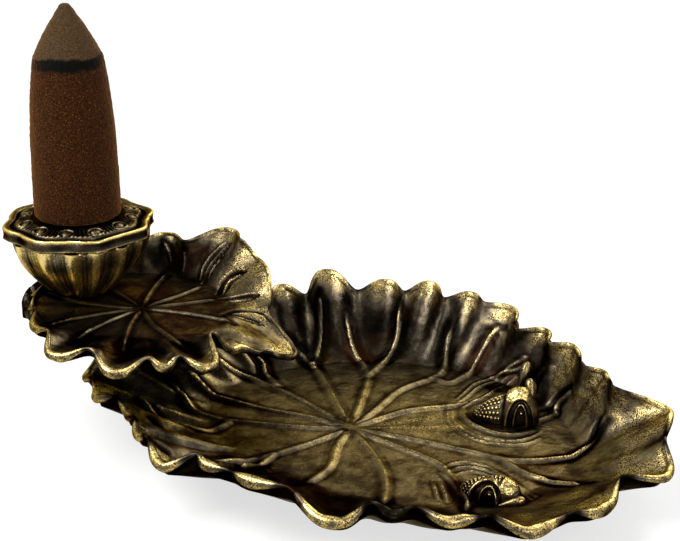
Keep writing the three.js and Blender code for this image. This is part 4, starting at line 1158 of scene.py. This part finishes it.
def fishSurface(f, place):
    outline = smoothLine(place["outline"], 12)
    run = np.concatenate([[0], np.cumsum(np.linalg.norm(np.diff(outline, axis=0), axis=1))])
    stops = np.linspace(0, run[-1], f["rows"] + 1)
    x, wide, tall = [np.interp(stops, run, values)[:, None] for values in outline.T]
    wide, tall = np.maximum(wide, 0), np.maximum(tall, 0)
    around = np.radians(np.linspace(0, 180, f["columns"] + 1))
    x = x + 0 * around
    y, z = np.cos(around) * wide, np.sin(around) * tall
    normal = np.stack([0 * x, np.cos(around) * tall, np.sin(around) * wide], -1)
    normal /= np.maximum(np.linalg.norm(normal, axis=-1, keepdims=True), 1e-9)
    up = z + f["tilt"] * (y + np.max(wide))
    archGap = ovalGap(x, up, place["arch"])
    ringGap = ovalGap(x, up, place["ring"])

    # Rows of scales, each row set half a step on from the next
    ends = place["scalesEnd"]
    turn = math.radians(f["scaleTurn"])
    girth = np.sqrt(wide * tall)
    row = np.rint(around / turn)
    along = (x - ends) / f["scaleStep"] + 0.5 * (row % 2)
    offX, offY = (along - np.rint(along)) * f["scaleStep"], (around - row * turn) * girth
    size = np.minimum(f["scaleSize"], 0.42 * turn * girth) + 1e-6
    scale = np.sqrt(np.clip(1 - (offX ** 2 + offY ** 2) / size ** 2, 0, 1))
    scale *= (1 - smoothStep(x, ends - 0.1, ends + 0.1)) * smoothStep(archGap, 0.3, 0.55)
    lift = f["scaleHigh"] * scale * size
    gild = place["rub"] + scale * growing(f["scaleTone"], smoothStep(z, 0.2, 2.2))

    # Head: a rubbed crown over the dark arch round the eye, and the ring and pupil in it
    inArch = 1 - smoothStep(archGap, *f["archFade"])
    ring = hill(ringGap, f["ringThick"])
    pupil = np.exp(-(np.hypot(x - place["pupil"][0], up - place["pupil"][1]) / f["pupilSize"]) ** 4)
    browEnd = [place["arch"][0] + end for end in f["browEnd"]]
    brow = hill(archGap - f["browAt"], f["browWide"]) * (1 - smoothStep(x, *browEnd))
    first, last, low = place["crown"]
    crown = smoothStep(x, first - 0.2, first + 0.4) * (1 - smoothStep(x, last - 0.7, last + 0.2))
    crown *= smoothStep(z, low - 0.3, low + 0.6) * smoothStep(archGap, 0, 0.3)
    neck = hill(x - ends - f["neckAt"], f["neckWide"]) * (1 - crown) * smoothStep(archGap, 0.3, 0.6)
    inside = np.stack([x, y, z], -1)
    pits = unevenness(inside, 0.4, 4) + 0.6 * unevenness(inside, 1.1, 14)
    lift += f["archDeep"] * (f["ringRise"] * ring + f["pupilRise"] * pupil - 1) * inArch
    lift += f["ringHigh"] * ring * inArch + f["browHigh"] * brow - f["archDeep"] * f["neckDeep"] * neck
    lift += crown * growing(f["crownHigh"], pits)
    gild += inArch * (f["ringTone"] * ring + f["pupilTone"] * pupil - f["archTone"])
    gild += f["browTone"] * brow + crown * growing(f["crownTone"], pits) - f["neckTone"] * neck
    gild += f["cloudTone"] * unevenness(inside, f["cloud"], 30)
    points = inside + normal * lift[..., None]
    points[..., 2] = np.maximum(points[..., 2], 0)

    # A short skirt goes straight down under the water and closes the casting
    skirt = points[:, [0, -1]] * (1, 1, 0) + (0, 0, f["lowest"])
    points = np.concatenate([skirt[:, :1], points, skirt[:, 1:], skirt[:, :1]], 1)
    gild = np.concatenate([gild[:, :1], gild, gild[:, -1:], gild[:, :1]], 1)
    facing = np.array(Matrix.Rotation(math.radians(place["turn"]), 3, "Z"))
    points = points @ facing.T + (*place["at"], floorTop(largeLeaf) + f["seatGap"])
    return points, {"gild": np.clip(gild, 0, 1)}


def addFish(name, place):
    f = fishShape
    piece = gridPiece(name + "_casting", *fishSurface(f, place))
    gildByShape(piece, gain=0.16, radius=0.25, rounds=1)
    piece.data.materials.append(leafBrass)
    combine(piece, rod(f["pegRadius"], f["pegLow"], f["pegHigh"], place["at"], 32), "UNION")
    replaceNode(piece, name)


for name, place in fishPlaces.items():
    addFish(name, place)
print("fish made")


# Fins that break the surface by each fish: drops from a thin end to a blunt end, and the blunt end's radius
fins = {
    "fins_rear": [
        ((23.4, 18.2, 3.2), (22.3, 20.3, 6.2), 1.3), ((20.4, 21.3, 4.5), (21.1, 23.3, 7.6), 1.25),
    ],
    "fins_front": [((28.2, -14, 3.1), (31.1, -12.7, 3.9), 0.95)],
}


def addDrop(bm, gild, thin, blunt, radius):
    thin, blunt = Vector(thin), Vector(blunt)
    axis = blunt - thin
    turn = axis.to_track_quat("X", "Z").to_matrix().to_4x4()
    made = bmesh.ops.create_icosphere(bm, subdivisions=4, radius=1)["verts"]
    for vert in made:
        share = (vert.co.x + 1) / 2
        slim = radius * growing((0.3, 0.7), share)
        vert.co = (vert.co.x * (axis.length / 2 + 0.3), vert.co.y * slim, vert.co.z * slim)
        vert[gild] = growing((0.34, 0.24), share)
    place = Matrix.Scale(mm, 4) @ Matrix.Translation((thin + blunt) / 2) @ turn
    bmesh.ops.transform(bm, matrix=place, verts=made)


def addFins(name, drops):
    bm = bmesh.new()
    gild = bm.verts.layers.float.new("gild")
    for drop in drops:
        addDrop(bm, gild, *drop)
    piece = pieceFrom(bm, name)
    gildByShape(piece, gain=0.14, radius=0.4, rounds=1)
    piece.data.materials.append(leafBrass)
    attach(piece, "burner")


for name, drops in fins.items():
    addFins(name, drops)
print("fins made")


# Slotted pan-head screws
screwShape = {
    "shank": 1.5, "head": 2.7, "headHigh": 1.5, "slotWide": 0.8, "slotDeep": 0.7, "slotLong": 8,
    "pitch": 0.5, "thread": 0.18,
}


def addScrew(node, seat, tip, at):
    s = screwShape
    low = seat - s["headHigh"]
    profile = [(0, low), (s["head"] - 0.7, low), (s["head"] - 0.3, low + 0.12), (s["head"], low + 0.5),
               (s["head"], seat), (s["shank"], seat)]
    z = seat + 0.4
    while z < tip - 0.5:
        profile += [(s["shank"], z), (s["shank"] - s["thread"], z + s["pitch"] / 2)]
        z += s["pitch"]
    profile += [(s["shank"] - 0.4, tip), (0, tip)]
    piece = turnedPiece(node + "_fine", profile, at, 48)
    long, wide = s["slotLong"], s["slotWide"]
    slot = box((at[0] - long / 2, at[1] - wide / 2, low - 1), (long, wide, 1 + s["slotDeep"]))
    combine(piece, pieceFrom(slot, "cutter"), "DIFFERENCE")
    piece.data.materials.append(screwZinc)
    piece.data.set_sharp_from_angle(angle=math.radians(35))
    replaceNode(piece, node)


for node, (seat, tip, at) in screwSeats.items():
    addScrew(node, seat, tip, at)
print("screws made")


# Studio: a pale floor that fades into the white, a big soft key from the upper left and a fill
studio = {
    "floorSize": 6, "floorColour": "#f2f1ee", "skyLevel": 0.45,
    "shadowKept": 0.32, "fadeFrom": 0.12, "fadeTo": 0.4,  # the shadow's strength, and metres from the middle
    "lights": {
        "key": {"place": (-0.35, -0.25, 0.6), "size": 0.45, "power": 7.0},
        "fill": {"place": (0.5, -0.35, 0.35), "size": 0.4, "power": 2.2},
        "back": {"place": (0.1, 0.55, 0.45), "size": 0.5, "power": 3.0},
    },
    "aim": (0, 0, 0.01),
}


# 1 where the camera sees it, also by a mirror or through glass
def seenDirectly(owner):
    sees = addNode(owner, "ShaderNodeLightPath", {}, {})
    seen = addNode(owner, "ShaderNodeMath", {"operation": "MAXIMUM"}, {
        0: (sees, "Is Camera Ray"), 1: (sees, "Is Glossy Ray")})
    return addNode(owner, "ShaderNodeMath", {"operation": "MAXIMUM"}, {
        0: (seen, 0), 1: (sees, "Is Transmission Ray")})


# Matt white paint: it takes the soft shadow, and shows as plain white away from the burner
def addFloor():
    bm = bmesh.new()
    bmesh.ops.create_grid(bm, x_segments=8, y_segments=8, size=studio["floorSize"] / 2)
    floor = pieceFrom(bm, "floor")
    material = newMaterial("paintedBoard")
    matt = addNode(material, "ShaderNodeBsdfDiffuse", {}, {"Color": srgb(studio["floorColour"])})
    glow = addNode(material, "ShaderNodeEmission", {}, {"Color": (1, 1, 1, 1), "Strength": 1.0})
    place = addNode(material, "ShaderNodeTexCoord", {}, {})
    away = addNode(material, "ShaderNodeVectorMath", {"operation": "LENGTH"}, {0: (place, "Object")})
    glowing = addNode(material, "ShaderNodeMapRange", {}, {
        0: (away, "Value"), 1: studio["fadeFrom"], 2: studio["fadeTo"], 3: 1 - studio["shadowKept"], 4: 1.0})
    share = addNode(material, "ShaderNodeMath", {"operation": "MULTIPLY"}, {
        0: (seenDirectly(material), 0), 1: (glowing, 0)})
    mixed = addNode(material, "ShaderNodeMixShader", {}, {0: (share, 0), 1: (matt, 0), 2: (glow, 0)})
    addNode(material, "ShaderNodeOutputMaterial", {}, {0: (mixed, 0)})
    floor.data.materials.append(material)


def addSky():
    world = bpy.data.worlds.new("studio")
    bpy.context.scene.world = world
    world.use_nodes = True
    world.node_tree.nodes.clear()
    level = addNode(world, "ShaderNodeMapRange", {}, {
        0: (seenDirectly(world), 0), (3, 4): (studio["skyLevel"], 1)})
    sky = addNode(world, "ShaderNodeBackground", {}, {"Color": (1, 1, 1, 1), "Strength": (level, 0)})
    addNode(world, "ShaderNodeOutputWorld", {}, {0: (sky, 0)})


def addLight(name, setting):
    data = bpy.data.lights.new(name, "AREA")
    data.size = setting["size"]
    data.energy = setting["power"]
    light = bpy.data.objects.new(name, data)
    light.location = setting["place"]
    aim = Vector(studio["aim"]) - light.location
    light.rotation_euler = aim.to_track_quat("-Z", "Y").to_euler()
    bpy.context.scene.collection.objects.link(light)


addFloor()
addSky()
for name, setting in studio["lights"].items():
    addLight(name, setting)
bpy.context.scene.view_settings.view_transform = "Standard"
print("studio lit")
